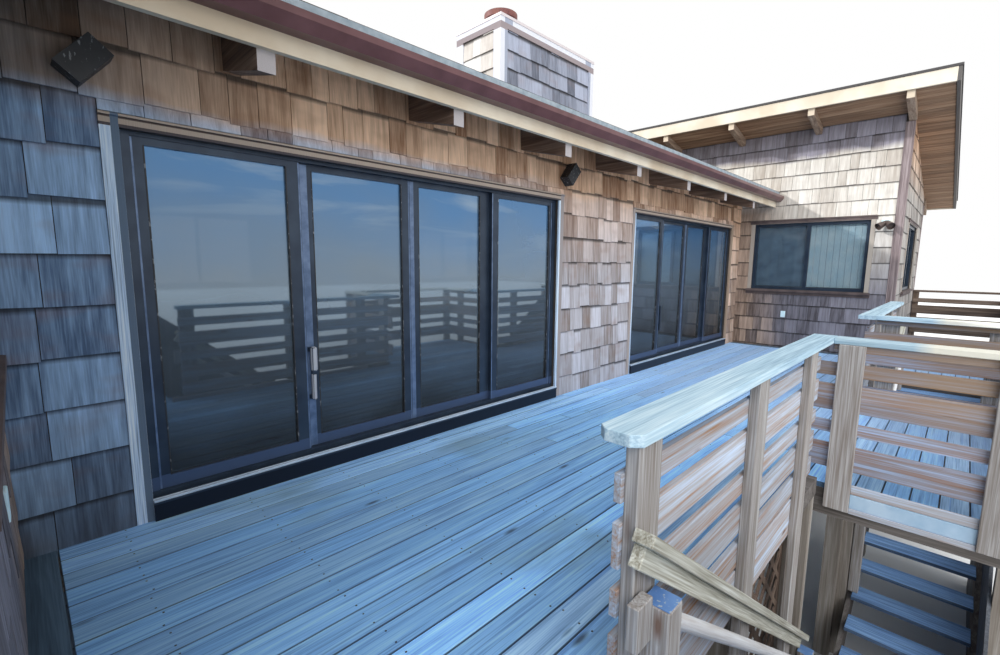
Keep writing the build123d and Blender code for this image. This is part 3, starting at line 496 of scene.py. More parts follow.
# %% Shingle colours
GREY_BLUE = ((0.085, 0.14, 0.24), (0.47, 0.70, 1.0))
TAN_GREY = ((0.25, 0.205, 0.185), (0.63, 0.62, 0.67))
BROWN = ((0.26, 0.125, 0.06), (0.95, 0.64, 0.43))
SHADED_BROWN = ((0.07, 0.055, 0.045), (0.27, 0.23, 0.21))
CORNER_BROWN = ((0.20, 0.13, 0.09), (0.78, 0.56, 0.42))
COURT_SHINGLES = shingle_finish("court_shingles", GREY_BLUE, TAN_GREY, ("X", -4.6, -0.4), BROWN, (4.92, 5.06),
                                step=COURT_COURSE, tones=0.34, shaded=SHADED_BROWN,
                                corner=("X", 4.45, 4.75, CORNER_BROWN))
# On the wing's court wall the low courses carry painted shade, the middle ones painted sunlight, and the courses under
# the eave painted shade.
WING_SHADED_LOW = ((0.07, 0.062, 0.072), (0.27, 0.26, 0.305))
WING_SUNNY = ((0.46, 0.40, 0.34), (0.85, 0.81, 0.74))
WING_SHADE = ((0.13, 0.11, 0.115), (0.37, 0.35, 0.41))
WING_CORNER = ((0.12, 0.075, 0.05), (0.52, 0.37, 0.27))
WING_SHINGLES = shingle_finish("wing_shingles", WING_SHADED_LOW, WING_SUNNY, ("Z", 3.7, 5.0), WING_SHADE, (6.03, 6.13),
                               spread=0.12, tones=0.26, corner=("Y", -0.75, -0.1, WING_CORNER))
SIDE_LOW = ((0.12, 0.105, 0.10), (0.33, 0.30, 0.28))
SIDE_HIGH = ((0.20, 0.18, 0.17), (0.46, 0.43, 0.40))
SIDE_SHINGLES = shingle_finish("side_shingles", SIDE_LOW, SIDE_HIGH, ("Z", 0.0, 5.0), BROWN, (5.4, 6.3), spread=0.25)
# The chimney's side at X -0.87, towards the low lamp, has painted sunlight, and its other sides have painted shade.
CHIMNEY_SUNLIT_SIDE = ((0.6, 0.55, 0.5), (0.95, 0.93, 0.9))
CHIMNEY_SHADED_SIDES = ((0.11, 0.12, 0.155), (0.38, 0.41, 0.51))
CHIMNEY_SHINGLES = shingle_finish("chimney_shingles", CHIMNEY_SUNLIT_SIDE, CHIMNEY_SHADED_SIDES, ("X", -0.872, -0.868), BROWN,
                                  (8.0, 9.0), spread=0.2, step=CHIMNEY_COURSE)
print("shingles", COURT_SHINGLES.name, WING_SHINGLES.name, SIDE_SHINGLES.name, CHIMNEY_SHINGLES.name)

# %% Roof finish
def roof_finish(name, pair):
    finish, tree, shader = new_finish(name, 0.95)
    grit = noise(place_of(tree), (420, 420, 420), 2)
    value = plus(times(attribute(tree, "tone"), 0.55), times(grit, 0.5))
    complete(shader, from_pair(value, pair, 0.25, 0.8), grit, 0.4, 0.002)
    return finish


ROOF = roof_finish("roof_shingles_finish", ((0.07, 0.065, 0.065), (0.19, 0.18, 0.175)))
print("finishes", len(bpy.data.materials))

# %% [markdown]
# Every solid from the frame now gets its finish.
# The walls get a dark brown under the shingles, so nothing pale shows between two of them: the dark stands for painted
# shade in the gaps.

# %% Finishes for the solids
def dress(finish, *names):
    for name in names:
        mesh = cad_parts[name].data
        mesh.materials.clear()
        mesh.materials.append(finish)
    print(finish.name, "on", *names)


dress(UNDERLAY_SHADE, "chimney_chase", *[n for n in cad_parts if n.endswith("_wall")])
dress(DOOR_METAL, "window_frames", *[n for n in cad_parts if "sliding_door" in n])
dress(DOOR_GLASS, "upper_door_glass", "lower_door_glass")
dress(WINDOW_GLASS, "window_glass")
dress(CASING, "door_casings")
dress(WINDOW_CASING, "window_trim")
dress(GREY_TRIM, "corner_boards")
dress(CREAM, "main_fascia")
dress(ROOF_TRIM, "left_wing_roof_trim", "right_wing_roof_trim")
dress(GUTTER, "main_gutter")
dress(TAIL_Y, "main_rafter_tails")
dress(TAIL_X, "left_wing_rafter_tails", "right_wing_rafter_tails", "main_roof", "left_wing_roof", "right_wing_roof")
dress(FLUE, "chimney_cap_and_flue")
dress(PLASTIC, "wall_speakers")
dress(CONCRETE, "ground_floor")
dress(FLOOR_WOOD, "upper_floor")
dress(ROOF, "main_roof_shingles", "left_wing_roof_shingles", "right_wing_roof_shingles")
dress(FRAME_Y, "main_deck_frame", "front_deck_frames", "bridge_frame")
dress(PILE, "deck_piles")
dress(LATTICE, "deck_lattice")
dress(SCREEN, "stair_outer_screens")
dress(FRAME_X, "stair_stringers", "foot_platform")

# %% [markdown]
# A board is a block with softened edges. It is modelled once, and each copy is drawn out to its own size
# while the soft edge keeps its width. The copies of one piece are joined, each with its grain and its tone.

# %% One block and one shingle
def read_pattern():
    """The points and faces of the object just modelled, which is then put away."""
    model = bpy.context.object
    points = np.array([v.co[:] for v in model.data.vertices])
    faces = [tuple(f.vertices) for f in model.data.polygons]
    bpy.data.objects.remove(model)
    return points, faces


def start_cube():
    bpy.ops.object.select_all(action="DESELECT")
    bpy.ops.mesh.primitive_cube_add(size=1)
    bpy.ops.object.mode_set(mode="EDIT")
    bpy.ops.mesh.select_all(action="SELECT")


BLOCK_BEVEL = 0.1
start_cube()
bpy.ops.mesh.bevel(offset=BLOCK_BEVEL, segments=1, affect="EDGES")
bpy.ops.object.mode_set(mode="OBJECT")
BLOCK = read_pattern()

# A shingle is a cube whose front face leans back towards its top.
start_cube()
bpy.ops.mesh.select_all(action="DESELECT")
bpy.ops.object.mode_set(mode="OBJECT")
for corner in bpy.context.object.data.vertices:
    corner.select = corner.co.y < 0 and corner.co.z > 0
bpy.ops.object.mode_set(mode="EDIT")
bpy.ops.transform.translate(value=(0, 0.7, 0))
bpy.ops.object.mode_set(mode="OBJECT")
SHINGLE = read_pattern()
print("block", len(BLOCK[1]), "faces, shingle", len(SHINGLE[1]), "faces")

# %% Join copies
def keep_values(mesh, name, values):
    """Stores a number or a vector for every point of a mesh."""
    values = np.asarray(values, np.float32)
    kind, field = ("FLOAT_VECTOR", "vector") if values.ndim == 2 else ("FLOAT", "value")
    mesh.attributes.new(name, kind, "POINT").data.foreach_set(field, values.ravel())


def join_copies(name, pattern, copies, finish, slot, *hidden):
    """copies holds points, grain, tone and height for each copy; hidden are the solids that the piece stands for."""
    count = len(pattern[0])
    faces = [[i + k * count for i in face] for k in range(len(copies)) for face in pattern[1]]
    mesh = bpy.data.meshes.new(name)
    mesh.from_pydata(np.concatenate([c[0] for c in copies]).tolist(), [], faces)
    keep_values(mesh, "grain", np.concatenate([c[1] + RNG.uniform(-30, 30, 3) for c in copies]))
    keep_values(mesh, "tone", np.repeat([c[2] for c in copies], count))
    keep_values(mesh, "height", np.concatenate([c[3] for c in copies]))
    mesh.materials.append(finish)
    piece = bpy.data.objects.new(name, mesh)
    bpy.context.collection.objects.link(piece)
    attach(piece, "root")
    if hidden:
        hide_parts(*hidden)
    print(name, len(copies), "copies", sum(len(f) - 2 for f in faces), "triangles")


# %% Boards
TURNS = {
    "x": ((1, 0, 0), (0, 1, 0), (0, 0, 1)),
    "y": ((0, 1, 0), (-1, 0, 0), (0, 0, 1)),
    "z": ((0, 0, 1), (0, 1, 0), (-1, 0, 0)),
}


def sawn(centre, size, turn, edge=0.003):
    """A copy of the block: size is length, width and thickness along the rows of turn, and its height is 1
    on the two flat faces."""
    base = BLOCK[0]
    size = np.array(size, float)
    edge = min(edge, size.min() * 0.3)
    local = np.sign(base) * (size / 2 - edge * (0.5 - np.abs(base)) / BLOCK_BEVEL)
    flat = (np.abs(base[:, 2]) > 0.45).astype(float)
    return local @ np.array(turn, float) + np.array(centre, float), local, RNG.random(), flat


def board(x0, x1, y0, y1, z0, z1, way="x", edge=0.003):
    """A board between two corners, whose length lies along way."""
    low, high = np.minimum((x0, y0, z0), (x1, y1, z1)), np.maximum((x0, y0, z0), (x1, y1, z1))
    order = {"x": [0, 1, 2], "y": [1, 0, 2], "z": [2, 1, 0]}[way]
    return sawn((low + high) / 2, (high - low)[order], TURNS[way], edge)


print("a board's points", len(BLOCK[0]))

# %% [markdown]
# The decks are laid with planks that run along the court wall, with a dark gap between neighbours.
# Long rows are cut into lengths whose ends meet over a joist, as a carpenter would.

# %% Deck planks
THICK = 0.038  # of a plank, a cap or a tread
LONGEST = 4.9
JOIST = 0.6  # from one joist to the next


def planks(x0, x1, y0, y1, rows, gap=0.006):
    laid = []
    pitch = (y1 - y0) / rows
    for k in range(rows):
        ya = y0 + k * pitch + gap / 2
        cuts = [x0]
        while x1 - cuts[-1] > LONGEST:
            cuts.append(cuts[-1] + (3.0 + JOIST * RNG.integers(0, 4)))
        cuts.append(x1)
        for a, b in zip(cuts, cuts[1:]):
            drop = 0.0015 * RNG.random()
            ends = (a + 0.0015, b - 0.0015)
            laid.append(board(*ends, ya, ya + pitch - gap, DECK_Z - THICK, DECK_Z - drop, edge=0.0032))
    return laid


join_copies("court_planks", BLOCK, planks(-4.77, 4.77, COURT_EDGE, WALL_FACE, 17), DECK, "deck_wood", "main_deck")
border = [board(s * 4.775, s * HALF_COURT, COURT_EDGE, WALL_FACE, DECK_Z - THICK, DECK_Z, "y", 0.005)
          for side, s in SIDES]
join_copies("court_border_boards", BLOCK, border, DECK_EDGE, "deck_wood")
front = []
for side, s in SIDES:
    front += planks(*sorted((s * FLIGHT_HEAD, s * WING_OUT)), DECK_FRONT, COURT_EDGE, 9)
    front += planks(*sorted((s * HALF_COURT, s * WING_OUT)), COURT_EDGE, WING_FRONT, 1)
join_copies("front_planks", BLOCK, front, DECK, "deck_wood", "front_decks")
bridge = planks(-HALF_BRIDGE, HALF_BRIDGE, DECK_FRONT, COURT_EDGE, 9)
join_copies("bridge_planks", BLOCK, bridge, DECK, "deck_wood", "bridge_deck")

# %% Nail heads
NAIL = 0.004  # half of its width
heads = []
for x in np.arange(-4.5, 4.6, JOIST):
    for k in range(17):
        for across_plank in (0.03, 0.115):
            nail_x = x + RNG.uniform(-0.012, 0.012)
            nail_y = COURT_EDGE + k * 0.14665 + across_plank + RNG.uniform(-0.006, 0.006)
            heads.append(board(nail_x - NAIL, nail_x + NAIL, nail_y - NAIL, nail_y + NAIL,
                               DECK_Z - 0.006, DECK_Z + 0.0006, edge=0.001))
join_copies("deck_nails", BLOCK, heads, PLASTIC, "dark_frame")

# %% [markdown]
# Each railing is rebuilt board by board on the lines of its solid: a flat cap, posts of two-by-six,
# and slats on the deck side. So every board has its own grain, knots and soft edges.

# %% Railing sizes
POST_BACK = -2.551  # the court side of its posts
POST_FACE = -2.595  # the stair side
POST_THICK = 0.044
HALF_POST = 0.07
RAIL_TOP = DECK_Z + 1.0
CAP_UNDER = RAIL_TOP - THICK
# The lower and upper edge of every slat, above the deck.
COURT_SLATS = ((0.783, 0.872), (0.635, 0.720), (0.579, 0.635), (0.425, 0.512), (0.232, 0.363), (0.060, 0.178))
BRIDGE_SLATS = ((0.748, 0.835), (0.596, 0.690), (0.515, 0.596), (0.360, 0.440), (0.190, 0.285), (0.118, 0.190))


def posts_on_x(spots, y_back):
    return [board(x - HALF_POST, x + HALF_POST, y_back - POST_THICK, y_back, DECK_Z - drop, CAP_UNDER, "z")
            for x, drop in spots]


def slats_on_x(x0, x1, y_back, rows):
    return [board(x0, x1, y_back, y_back + 0.025, DECK_Z + a, DECK_Z + b, edge=0.002) for a, b in rows]


def slats_on_y(x0, x1, y0, y1):
    return [board(x0, x1, y0, y1, DECK_Z + a, DECK_Z + b, "y", 0.002) for a, b in BRIDGE_SLATS]


print("slats", len(COURT_SLATS), "on the court,", len(BRIDGE_SLATS), "on the bridge")

# %% [markdown]
# The cap of the court railing ends in two cut corners. It is a cube drawn out in edit mode,
# with the two upright edges of that end bevelled wide and all the others bevelled fine.

# %% A single piece
def settle(piece, place, grain, tone, finish):
    """Puts a single piece's place into its mesh, and gives it its grain, finish and body."""
    mesh = piece.data
    keep_values(mesh, "grain", grain)
    keep_values(mesh, "tone", np.full(len(grain), tone))
    mesh.transform(place)
    mesh.materials.clear()
    mesh.materials.append(finish)
    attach(piece, "root")
    print(piece.name, "faces", len(mesh.polygons))


# %% Court railing cap
def court_cap(name, s):
    start_cube()
    cap = bpy.context.object
    cap.name = name
    bpy.ops.transform.resize(value=(2.733, 0.14, THICK))
    bpy.ops.mesh.select_all(action="DESELECT")
    bpy.ops.object.mode_set(mode="OBJECT")
    bpy.context.tool_settings.mesh_select_mode = (False, True, False)
    for edge in cap.data.edges:
        a, b = (cap.data.vertices[i].co for i in edge.vertices)
        edge.select = abs(a.z - b.z) > 0.01 and a.x * s > 0
    bpy.ops.object.mode_set(mode="EDIT")
    bpy.ops.mesh.bevel(offset=0.03, segments=1, affect="EDGES")
    bpy.ops.object.mode_set(mode="OBJECT")
    bpy.context.tool_settings.mesh_select_mode = (True, False, False)
    softened = cap.modifiers.new("softened", "BEVEL")
    softened.width = 0.0025
    softened.segments = 2
    bpy.ops.object.modifier_apply(modifier="softened")
    grain = np.array([v.co[:] for v in cap.data.vertices]) + (3.3 * s, 7.1, 2.2)
    settle(cap, Matrix.Translation((s * 2.3015, -2.537, RAIL_TOP - THICK / 2)), grain, 0.55, CAP)


# %% Court railings
for side, s in SIDES:
    court_cap(side + "_court_rail_cap", s)
    stand = posts_on_x([(s * 3.57, 0.56), (s * 2.49, 0.62), (s * 1.51, 1.18)], POST_BACK)
    join_copies(side + "_court_rail_posts", BLOCK, stand, POST, "new_pine", side + "_court_railing")
    rows = slats_on_x(s * 3.655, s * 1.095, POST_BACK, COURT_SLATS)
    rows.append(board(s * 1.44, s * FLIGHT_HEAD, POST_BACK, COURT_EDGE, DECK_Z - 0.195, DECK_Z + 0.04))
    join_copies(side + "_court_rail_slats", BLOCK, rows, SLAT, "new_pine")

# %% Bridge railings
CAP_SPAN = (-3.676, -2.607)
RIM_SPAN = (-3.38, -2.78)
for side, s in SIDES:
    x = s * HALF_BRIDGE
    caps = [board(s * 0.935, s * 1.075, *CAP_SPAN, CAP_UNDER, RAIL_TOP, "y", 0.004)]
    join_copies(side + "_bridge_rail_cap", BLOCK, caps, CAP, "new_pine", side + "_bridge_railing")
    stand = [board(x, x + s * POST_THICK, y - HALF_POST, y + HALF_POST, DECK_Z - 0.15, CAP_UNDER, "z")
             for y in (-2.71, -3.45)]
    join_copies(side + "_bridge_rail_posts", BLOCK, stand, POST, "new_pine")
    rows = slats_on_y(x - s * 0.025, x, -3.734, -2.52)
    rows.append(board(x - s * 0.038, x, *CAP_SPAN, CAP_UNDER - 0.05, CAP_UNDER, "y"))
    join_copies(side + "_bridge_rail_slats", BLOCK, rows, BRIDGE_SLAT, "new_pine")
    rim = [board(x, x + s * 0.02, *RIM_SPAN, DECK_Z - 0.12, DECK_Z - 0.028, "y")]
    join_copies(side + "_bridge_rim_board", BLOCK, rim, WHITE, "deck_wood")
    strips = [board(x, x + s * 0.028, *RIM_SPAN, DECK_Z - 0.157, DECK_Z - 0.121, "y"),
              board(x, x + s * 0.016, *RIM_SPAN, DECK_Z - 0.026, DECK_Z + 0.035, "y")]
    join_copies(side + "_bridge_rim_strips", BLOCK, strips, SLAT, "deck_wood")

# %% Front railings
FRONT_CAP = (-3.816, -3.676)
FRONT_DROP = 0.18  # how far the front posts reach below the deck
caps, stand, rows, ends = [], [], [], []
for side, s in SIDES:
    caps.append(board(s * 3.77, s * 8.55, *FRONT_CAP, CAP_UNDER, RAIL_TOP, edge=0.004))
    spots = [s * (FLIGHT_HEAD + f * 4.82) for f in (0.02, 0.32, 0.65, 0.98)]
    stand += posts_on_x([(x, FRONT_DROP) for x in spots], DECK_FRONT)
    rows += slats_on_x(s * 3.78, s * 8.54, DECK_FRONT, BRIDGE_SLATS)
    ends.append(board(s * 8.43, s * WING_OUT, -3.676, -2.405, CAP_UNDER, RAIL_TOP, "y", 0.004))
    ends.append(board(s * 8.455, s * 8.545, -2.495, -2.405, DECK_Z, CAP_UNDER, "z"))
    ends += slats_on_y(s * 8.455, s * 8.43, -3.734, -2.405)
caps.append(board(-1.075, 1.075, *FRONT_CAP, CAP_UNDER, RAIL_TOP, edge=0.004))
stand += posts_on_x([(-1.0, FRONT_DROP), (1.0, FRONT_DROP)], DECK_FRONT)
rows += slats_on_x(-1.07, 1.07, DECK_FRONT, BRIDGE_SLATS)
hidden = ("front_deck_railings", "front_deck_end_railings", "bridge_end_railing")
join_copies("front_rail_caps", BLOCK, caps, CAP, "new_pine", *hidden)
join_copies("front_rail_posts", BLOCK, stand, POST, "new_pine")
join_copies("front_rail_slats", BLOCK, rows, BRIDGE_SLAT, "new_pine")
join_copies("end_rail_boards", BLOCK, ends, SHADED_END_RAIL, "new_pine")

# %% [markdown]
# Beside each flight a flat handrail and its lower rail slope down over the posts.
# Below them a round pole, a peeled trunk, runs between two square newels.

# %% Leaning boards
SLOPE = (STOREY / RISERS) / TREAD_RUN


def leaning(x0, x1, y0, y1, z_top, deep):
    """A board that falls along X at the stairs' slope; z_top is its upper edge at x0."""
    start = Vector((x0, (y0 + y1) / 2, z_top))
    end = Vector((x1, (y0 + y1) / 2, z_top - SLOPE * abs(x1 - x0)))
    along = (end - start).normalized()
    across = Vector((0, 1, 0)) if along.x > 0 else Vector((0, -1, 0))
    up = along.cross(across)
    centre = (start + end) / 2 - up * deep / 2
    return sawn(centre, ((end - start).length, abs(y1 - y0), deep), (along, across, up))


print("slope", SLOPE)

# %% Handrails and newels
NEWEL = (-2.691, -2.602)
NEWEL_TOP = (-2.689, -2.604)
for side, s in SIDES:
    top = DECK_Z + 0.732
    rails = [leaning(s * 3.648, s * 1.172, POST_FACE - 0.064, POST_FACE, top, THICK),
             leaning(s * 3.648, s * 1.285, POST_FACE - 0.038, POST_FACE, top - 0.047, 0.064)]
    join_copies(side + "_handrail", BLOCK, rails, HANDRAIL, "new_pine", *(["stair_handrails"] if s < 0 else []))
    newels = [board(s * 3.604, s * 3.515, *NEWEL, DECK_Z - 0.196, DECK_Z + 0.49, "z", 0.006),
              board(s * 3.604, s * 3.69, -2.64, -2.602, DECK_Z + 0.38, DECK_Z + 0.52, "z"),
              board(s * 1.237, s * 1.148, *NEWEL, 0.786, 1.573, "z", 0.006)]
    join_copies(side + "_newels", BLOCK, newels, POST, "new_pine")
    tops = [board(s * 3.602, s * 3.517, *NEWEL_TOP, DECK_Z + 0.489, DECK_Z + 0.4925, edge=0.001),
            board(s * 1.235, s * 1.15, *NEWEL_TOP, 1.572, 1.5755, edge=0.001)]
    join_copies(side + "_newel_tops", BLOCK, tops, BLUE_PAINT, "new_pine")

# %% Round poles
def round_pole(name, s):
    """A cylinder laid along the slope between the newels, cut finer in edit mode."""
    start = Vector((s * 3.515, -2.665, DECK_Z + 0.411))
    end = Vector((s * 1.237, -2.665, DECK_Z + 0.411 - SLOPE * 2.278))
    bpy.ops.object.select_all(action="DESELECT")
    bpy.ops.mesh.primitive_cylinder_add(vertices=20, radius=0.026, depth=(end - start).length)
    pole = bpy.context.object
    pole.name = name
    bpy.ops.object.mode_set(mode="EDIT")
    bpy.ops.mesh.select_all(action="SELECT")
    bpy.ops.mesh.subdivide(number_cuts=1)
    bpy.ops.object.mode_set(mode="OBJECT")
    grain = np.array([v.co[:] for v in pole.data.vertices])[:, [2, 0, 1]]
    turn = (end - start).to_track_quat("Z", "Y").to_matrix().to_4x4()
    settle(pole, Matrix.Translation((start + end) / 2) @ turn, grain, 0.7, POLE)


for side, s in SIDES:
    round_pole(side + "_stair_pole", s)

# %% [markdown]
# The treads are single wide planks, gone blue grey like the deck.

# %% Treads
for side, s in SIDES:
    flight = []
    for k in range(1, 13):
        top = STOREY - k * STOREY / RISERS
        a = FLIGHT_HEAD - (k - 1) * TREAD_RUN
        flight.append(board(s * a, s * (a - 0.26), -3.55, -2.645, top - THICK, top, "y", 0.005))
    join_copies(side + "_treads", BLOCK, flight, TREAD, "deck_wood", side + "_stair_treads")

# %% [markdown]
# Walls are covered with courses of cedar shingles. One helper covers any flat face:
# it walks up the face course by course, leaves the doors and windows out, and breaks each course into random widths.
# The lower edges wander a few millimetres and the joints never line up, which is what gives old shingles their look.

# %% Free parts of a course
def free_parts(length, z0, z1, holes):
    """The rectangles of one course that no hole takes away."""
    parts = [(0.0, length, z0, z1)]
    for ua, ub, za, zb in holes:
        kept = []
        for a, b, low, high in parts:
            if ub <= a or ua >= b or zb <= low or za >= high:
                kept.append((a, b, low, high))
                continue
            if ua - a > 0.015:
                kept.append((a, ua, low, high))
            if b - ub > 0.015:
                kept.append((ub, b, low, high))
            mid_a, mid_b = max(a, ua), min(b, ub)
            if za - low > 0.02:
                kept.append((mid_a, mid_b, low, za))
            if high - zb > 0.02:
                kept.append((mid_a, mid_b, zb, high))
        parts = kept
    return parts


print("parts beside a door", free_parts(3.0, 1.0, 1.25, ((1.0, 2.0, 0.0, 2.0),)))

# %% One shingle on a face
def whole(height):
    """A limit that is the same all along a face."""
    return lambda u: height


def one_shingle(start, run, up, out, ends, feet, heads, thick):
    base = SHINGLE[0]
    right = (base[:, 0] > 0).astype(int)
    u = np.array(ends)[right]
    z = np.where(base[:, 2] > 0, np.array(heads)[right], np.array(feet)[right])
    proud = (0.5 - base[:, 1]) * thick
    points = start + np.outer(u, run) + np.outer(z, up) + np.outer(proud, out)
    grain = np.stack((z - z.min(), u - u.min(), proud), 1)
    return points, grain, RNG.random(), z - z.min()


# %% Shingle courses
def courses(start, run, up, length, base, step, foot, top, holes=(), widths=(0.10, 0.25), thick=0.02, lap=0.02,
            wander=0.006):
    """Covers a face that starts at a corner and goes on along run and up, between the heights foot and top.
    base is the lower edge of any one course, and a hole is (from, to, low, high) on the face."""
    start, run, up = np.array(start, float), np.array(run, float), np.array(up, float)
    out = np.cross(run, up)
    copies = []
    highest = max(top(u) for u in np.linspace(0, length, 9))
    lowest = min(foot(u) for u in np.linspace(0, length, 9))
    base -= step * math.ceil((base - lowest) / step)
    while base < highest:
        for a, b, low, high in free_parts(length, base, base + step, holes):
            edges = [a]
            while b - edges[-1] > widths[1] * 1.2:
                edges.append(edges[-1] + RNG.uniform(*widths))
            edges.append(b)
            for ua, ub in zip(edges, edges[1:]):
                slip = RNG.uniform(-wander, wander) if low == base else 0.0
                lean = RNG.uniform(-0.002, 0.002) if low == base else 0.0
                ends = (ua + 0.002, ub - 0.002)
                feet = [max(low + slip + d, foot(u)) for u, d in zip(ends, (lean, -lean))]
                heads = [min(high + (lap if high == base + step else 0.0), top(u)) for u in ends]
                if min(h - f for h, f in zip(heads, feet)) < 0.012:
                    continue
                thin = thick * RNG.uniform(0.75, 1.0)
                copies.append(one_shingle(start, run, up, out, ends, feet, heads, thin))
        base += step
    return copies


# %% Court wall shingles
UPRIGHT = (0, 0, 1)
DOOR_CASING = 0.08


def level_holes(spans, low, high):
    return [(a, b, level + low, level + high) for level in (0, STOREY) for a, b in spans]


# The doors' widths come from their solids.
DOORS = [(box[0].x, box[1].x) for box in (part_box("upper_left_sliding_door"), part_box("upper_right_sliding_door"))]
spans = [(HALF_COURT + a - DOOR_CASING, HALF_COURT + b + DOOR_CASING) for a, b in DOORS]
copies = courses((-HALF_COURT, WALL_FACE, 0), (1, 0, 0), UPRIGHT, 2 * HALF_COURT, STOREY + 2.263, COURT_COURSE,
                 whole(0.0), whole(5.49), level_holes(spans, -0.01, 2.2), widths=(0.11, 0.27), wander=0.014)
join_copies("court_wall_shingles", SHINGLE, copies, COURT_SHINGLES, "wall_shingles")

# %% Roof heights
ROOF_THICK = 0.18


def wing_under(x):
    """How high the wing roof's underside is."""
    return 6.54 - PITCH * (abs(x) - HALF_COURT)


def cover_top(y):
    """How high the main roof's cover is."""
    return 5.5 + PITCH * (RIDGE - abs(y - RIDGE)) + ROOF_THICK


print("ridge", cover_top(RIDGE), "wing roof over the court wall", wing_under(HALF_COURT))

# %% Windows in a wall
WIDE = 1.71  # the width of a window
SILL, HEAD_Z = 1.05, 2.22  # above each floor
# A face of a wing ends at its corner boards.
CORNER_X, CORNER_FRONT, CORNER_BACK = 8.48, -2.29, 6.01
COURSE_LINE = STOREY + 2.28
HIGH_LINE = STOREY + 3.54
WING_TOP = 6.53


def window_holes(spans):
    return [h for a, b in spans
            for h in level_holes(((a - 0.06, b + 0.06),), SILL - 0.09, HEAD_Z + 0.072)]


def wall_courses(start, run, length, top, spans=(), foot=whole(0.0), line=COURSE_LINE):
    return courses((*start, 0), run, UPRIGHT, length, line, WING_COURSE, foot, top, window_holes(spans))


print("one window on two storeys", window_holes([(0, WIDE)]))

# %% Wing shingles
for side, s in SIDES:
    # The wall that faces the court has one window in front of the middle section, and goes on above its roof.
    spans = [(0.29, 0.29 + WIDE)] if s < 0 else [(1.98 - WIDE, 1.98)]
    start = (s * HALF_COURT, CORNER_FRONT if s < 0 else WALL_FACE)
    faces = wall_courses(start, (0, -s, 0), 2.27, whole(WING_TOP), spans, line=HIGH_LINE)
    start = (s * HALF_COURT, WALL_FACE if s < 0 else BACK)
    foot = (lambda u: cover_top(u + WALL_FACE)) if s < 0 else (lambda u: cover_top(BACK - u))
    faces += wall_courses(start, (0, -s, 0), 6.12, whole(WING_TOP), foot=foot, line=HIGH_LINE)
    join_copies(side + "_wing_court_shingles", SHINGLE, faces, WING_SHINGLES, "wall_shingles")
    # The outer wall has two windows a storey.
    begin = CORNER_BACK if s < 0 else CORNER_FRONT
    spans = [(CORNER_BACK - y - WIDE, CORNER_BACK - y) if s < 0 else (y - CORNER_FRONT, y - CORNER_FRONT + WIDE)
             for y in (WING_FRONT + 1.68, WING_FRONT + 5.58)]
    laid = wall_courses((s * WING_OUT, begin), (0, s, 0), 8.3, whole(5.62), spans)
    # The tops of the front and the back wall follow the roof.
    low_x = sorted((s * 5.9, s * (5.9 + WIDE)))[0]
    xa = -CORNER_X if s < 0 else 5.0
    spans = [(low_x - xa, low_x - xa + WIDE)]
    laid += wall_courses((xa, WING_FRONT), (1, 0, 0), 3.48, lambda u: wing_under(xa + u), spans)
    xe = -HALF_COURT if s < 0 else CORNER_X
    spans = [(xe - low_x - WIDE, xe - low_x)]
    length = xe + CORNER_X if s < 0 else xe - HALF_COURT
    laid += wall_courses((xe, BACK), (-1, 0, 0), length, lambda u: wing_under(xe - u), spans)
    join_copies(side + "_wing_side_shingles", SHINGLE, laid, SIDE_SHINGLES, "wall_shingles")

# %% Back wall shingles
spans = [(HALF_COURT + x - WIDE / 2, HALF_COURT + x + WIDE / 2) for x in (-2.6, 2.6)]
laid = wall_courses((HALF_COURT, BACK), (-1, 0, 0), 2 * HALF_COURT, whole(5.49), spans)
join_copies("back_wall_shingles", SHINGLE, laid, SIDE_SHINGLES, "wall_shingles")

# %% Chimney shingles
CHASE_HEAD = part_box("chimney_chase")[1].z - 0.11


def chase_courses(start, run, length, foot):
    return courses(start, run, UPRIGHT, length, CHASE_HEAD - 0.01, CHIMNEY_COURSE, foot, whole(CHASE_HEAD),
                   widths=(0.10, 0.22))


laid = chase_courses((-0.78, 0.69, 0), (1, 0, 0), 1.56, whole(cover_top(0.69)))
laid += chase_courses((0.78, 1.38, 0), (-1, 0, 0), 1.56, whole(cover_top(1.38)))
laid += chase_courses((0.87, 0.78, 0), (0, 1, 0), 0.51, lambda u: cover_top(0.78 + u))
laid += chase_courses((-0.87, 1.29, 0), (0, -1, 0), 0.51, lambda u: cover_top(1.29 - u))
join_copies("chimney_shingles", SHINGLE, laid, CHIMNEY_SHINGLES, "wall_shingles")

# %% [markdown]
# The roofs carry thin mineral shingles in even tabs. The same helper lays them, on a face that leans:
# its up runs along the slope, and every tab has nearly one width.

# %% Roof shingles
RISE = PITCH / math.hypot(1, PITCH)
FLAT = 1 / math.hypot(1, PITCH)
EAVE = -0.637
WING_EAVE, WING_RIDGE = 9.22, 4.19


def roof_tabs(start, run, up, width, length):
    return courses(start, run, up, width, 0, 0.143, whole(0.0), whole(length), widths=(0.26, 0.34), thick=0.007,
                   lap=0.03, wander=0.001)


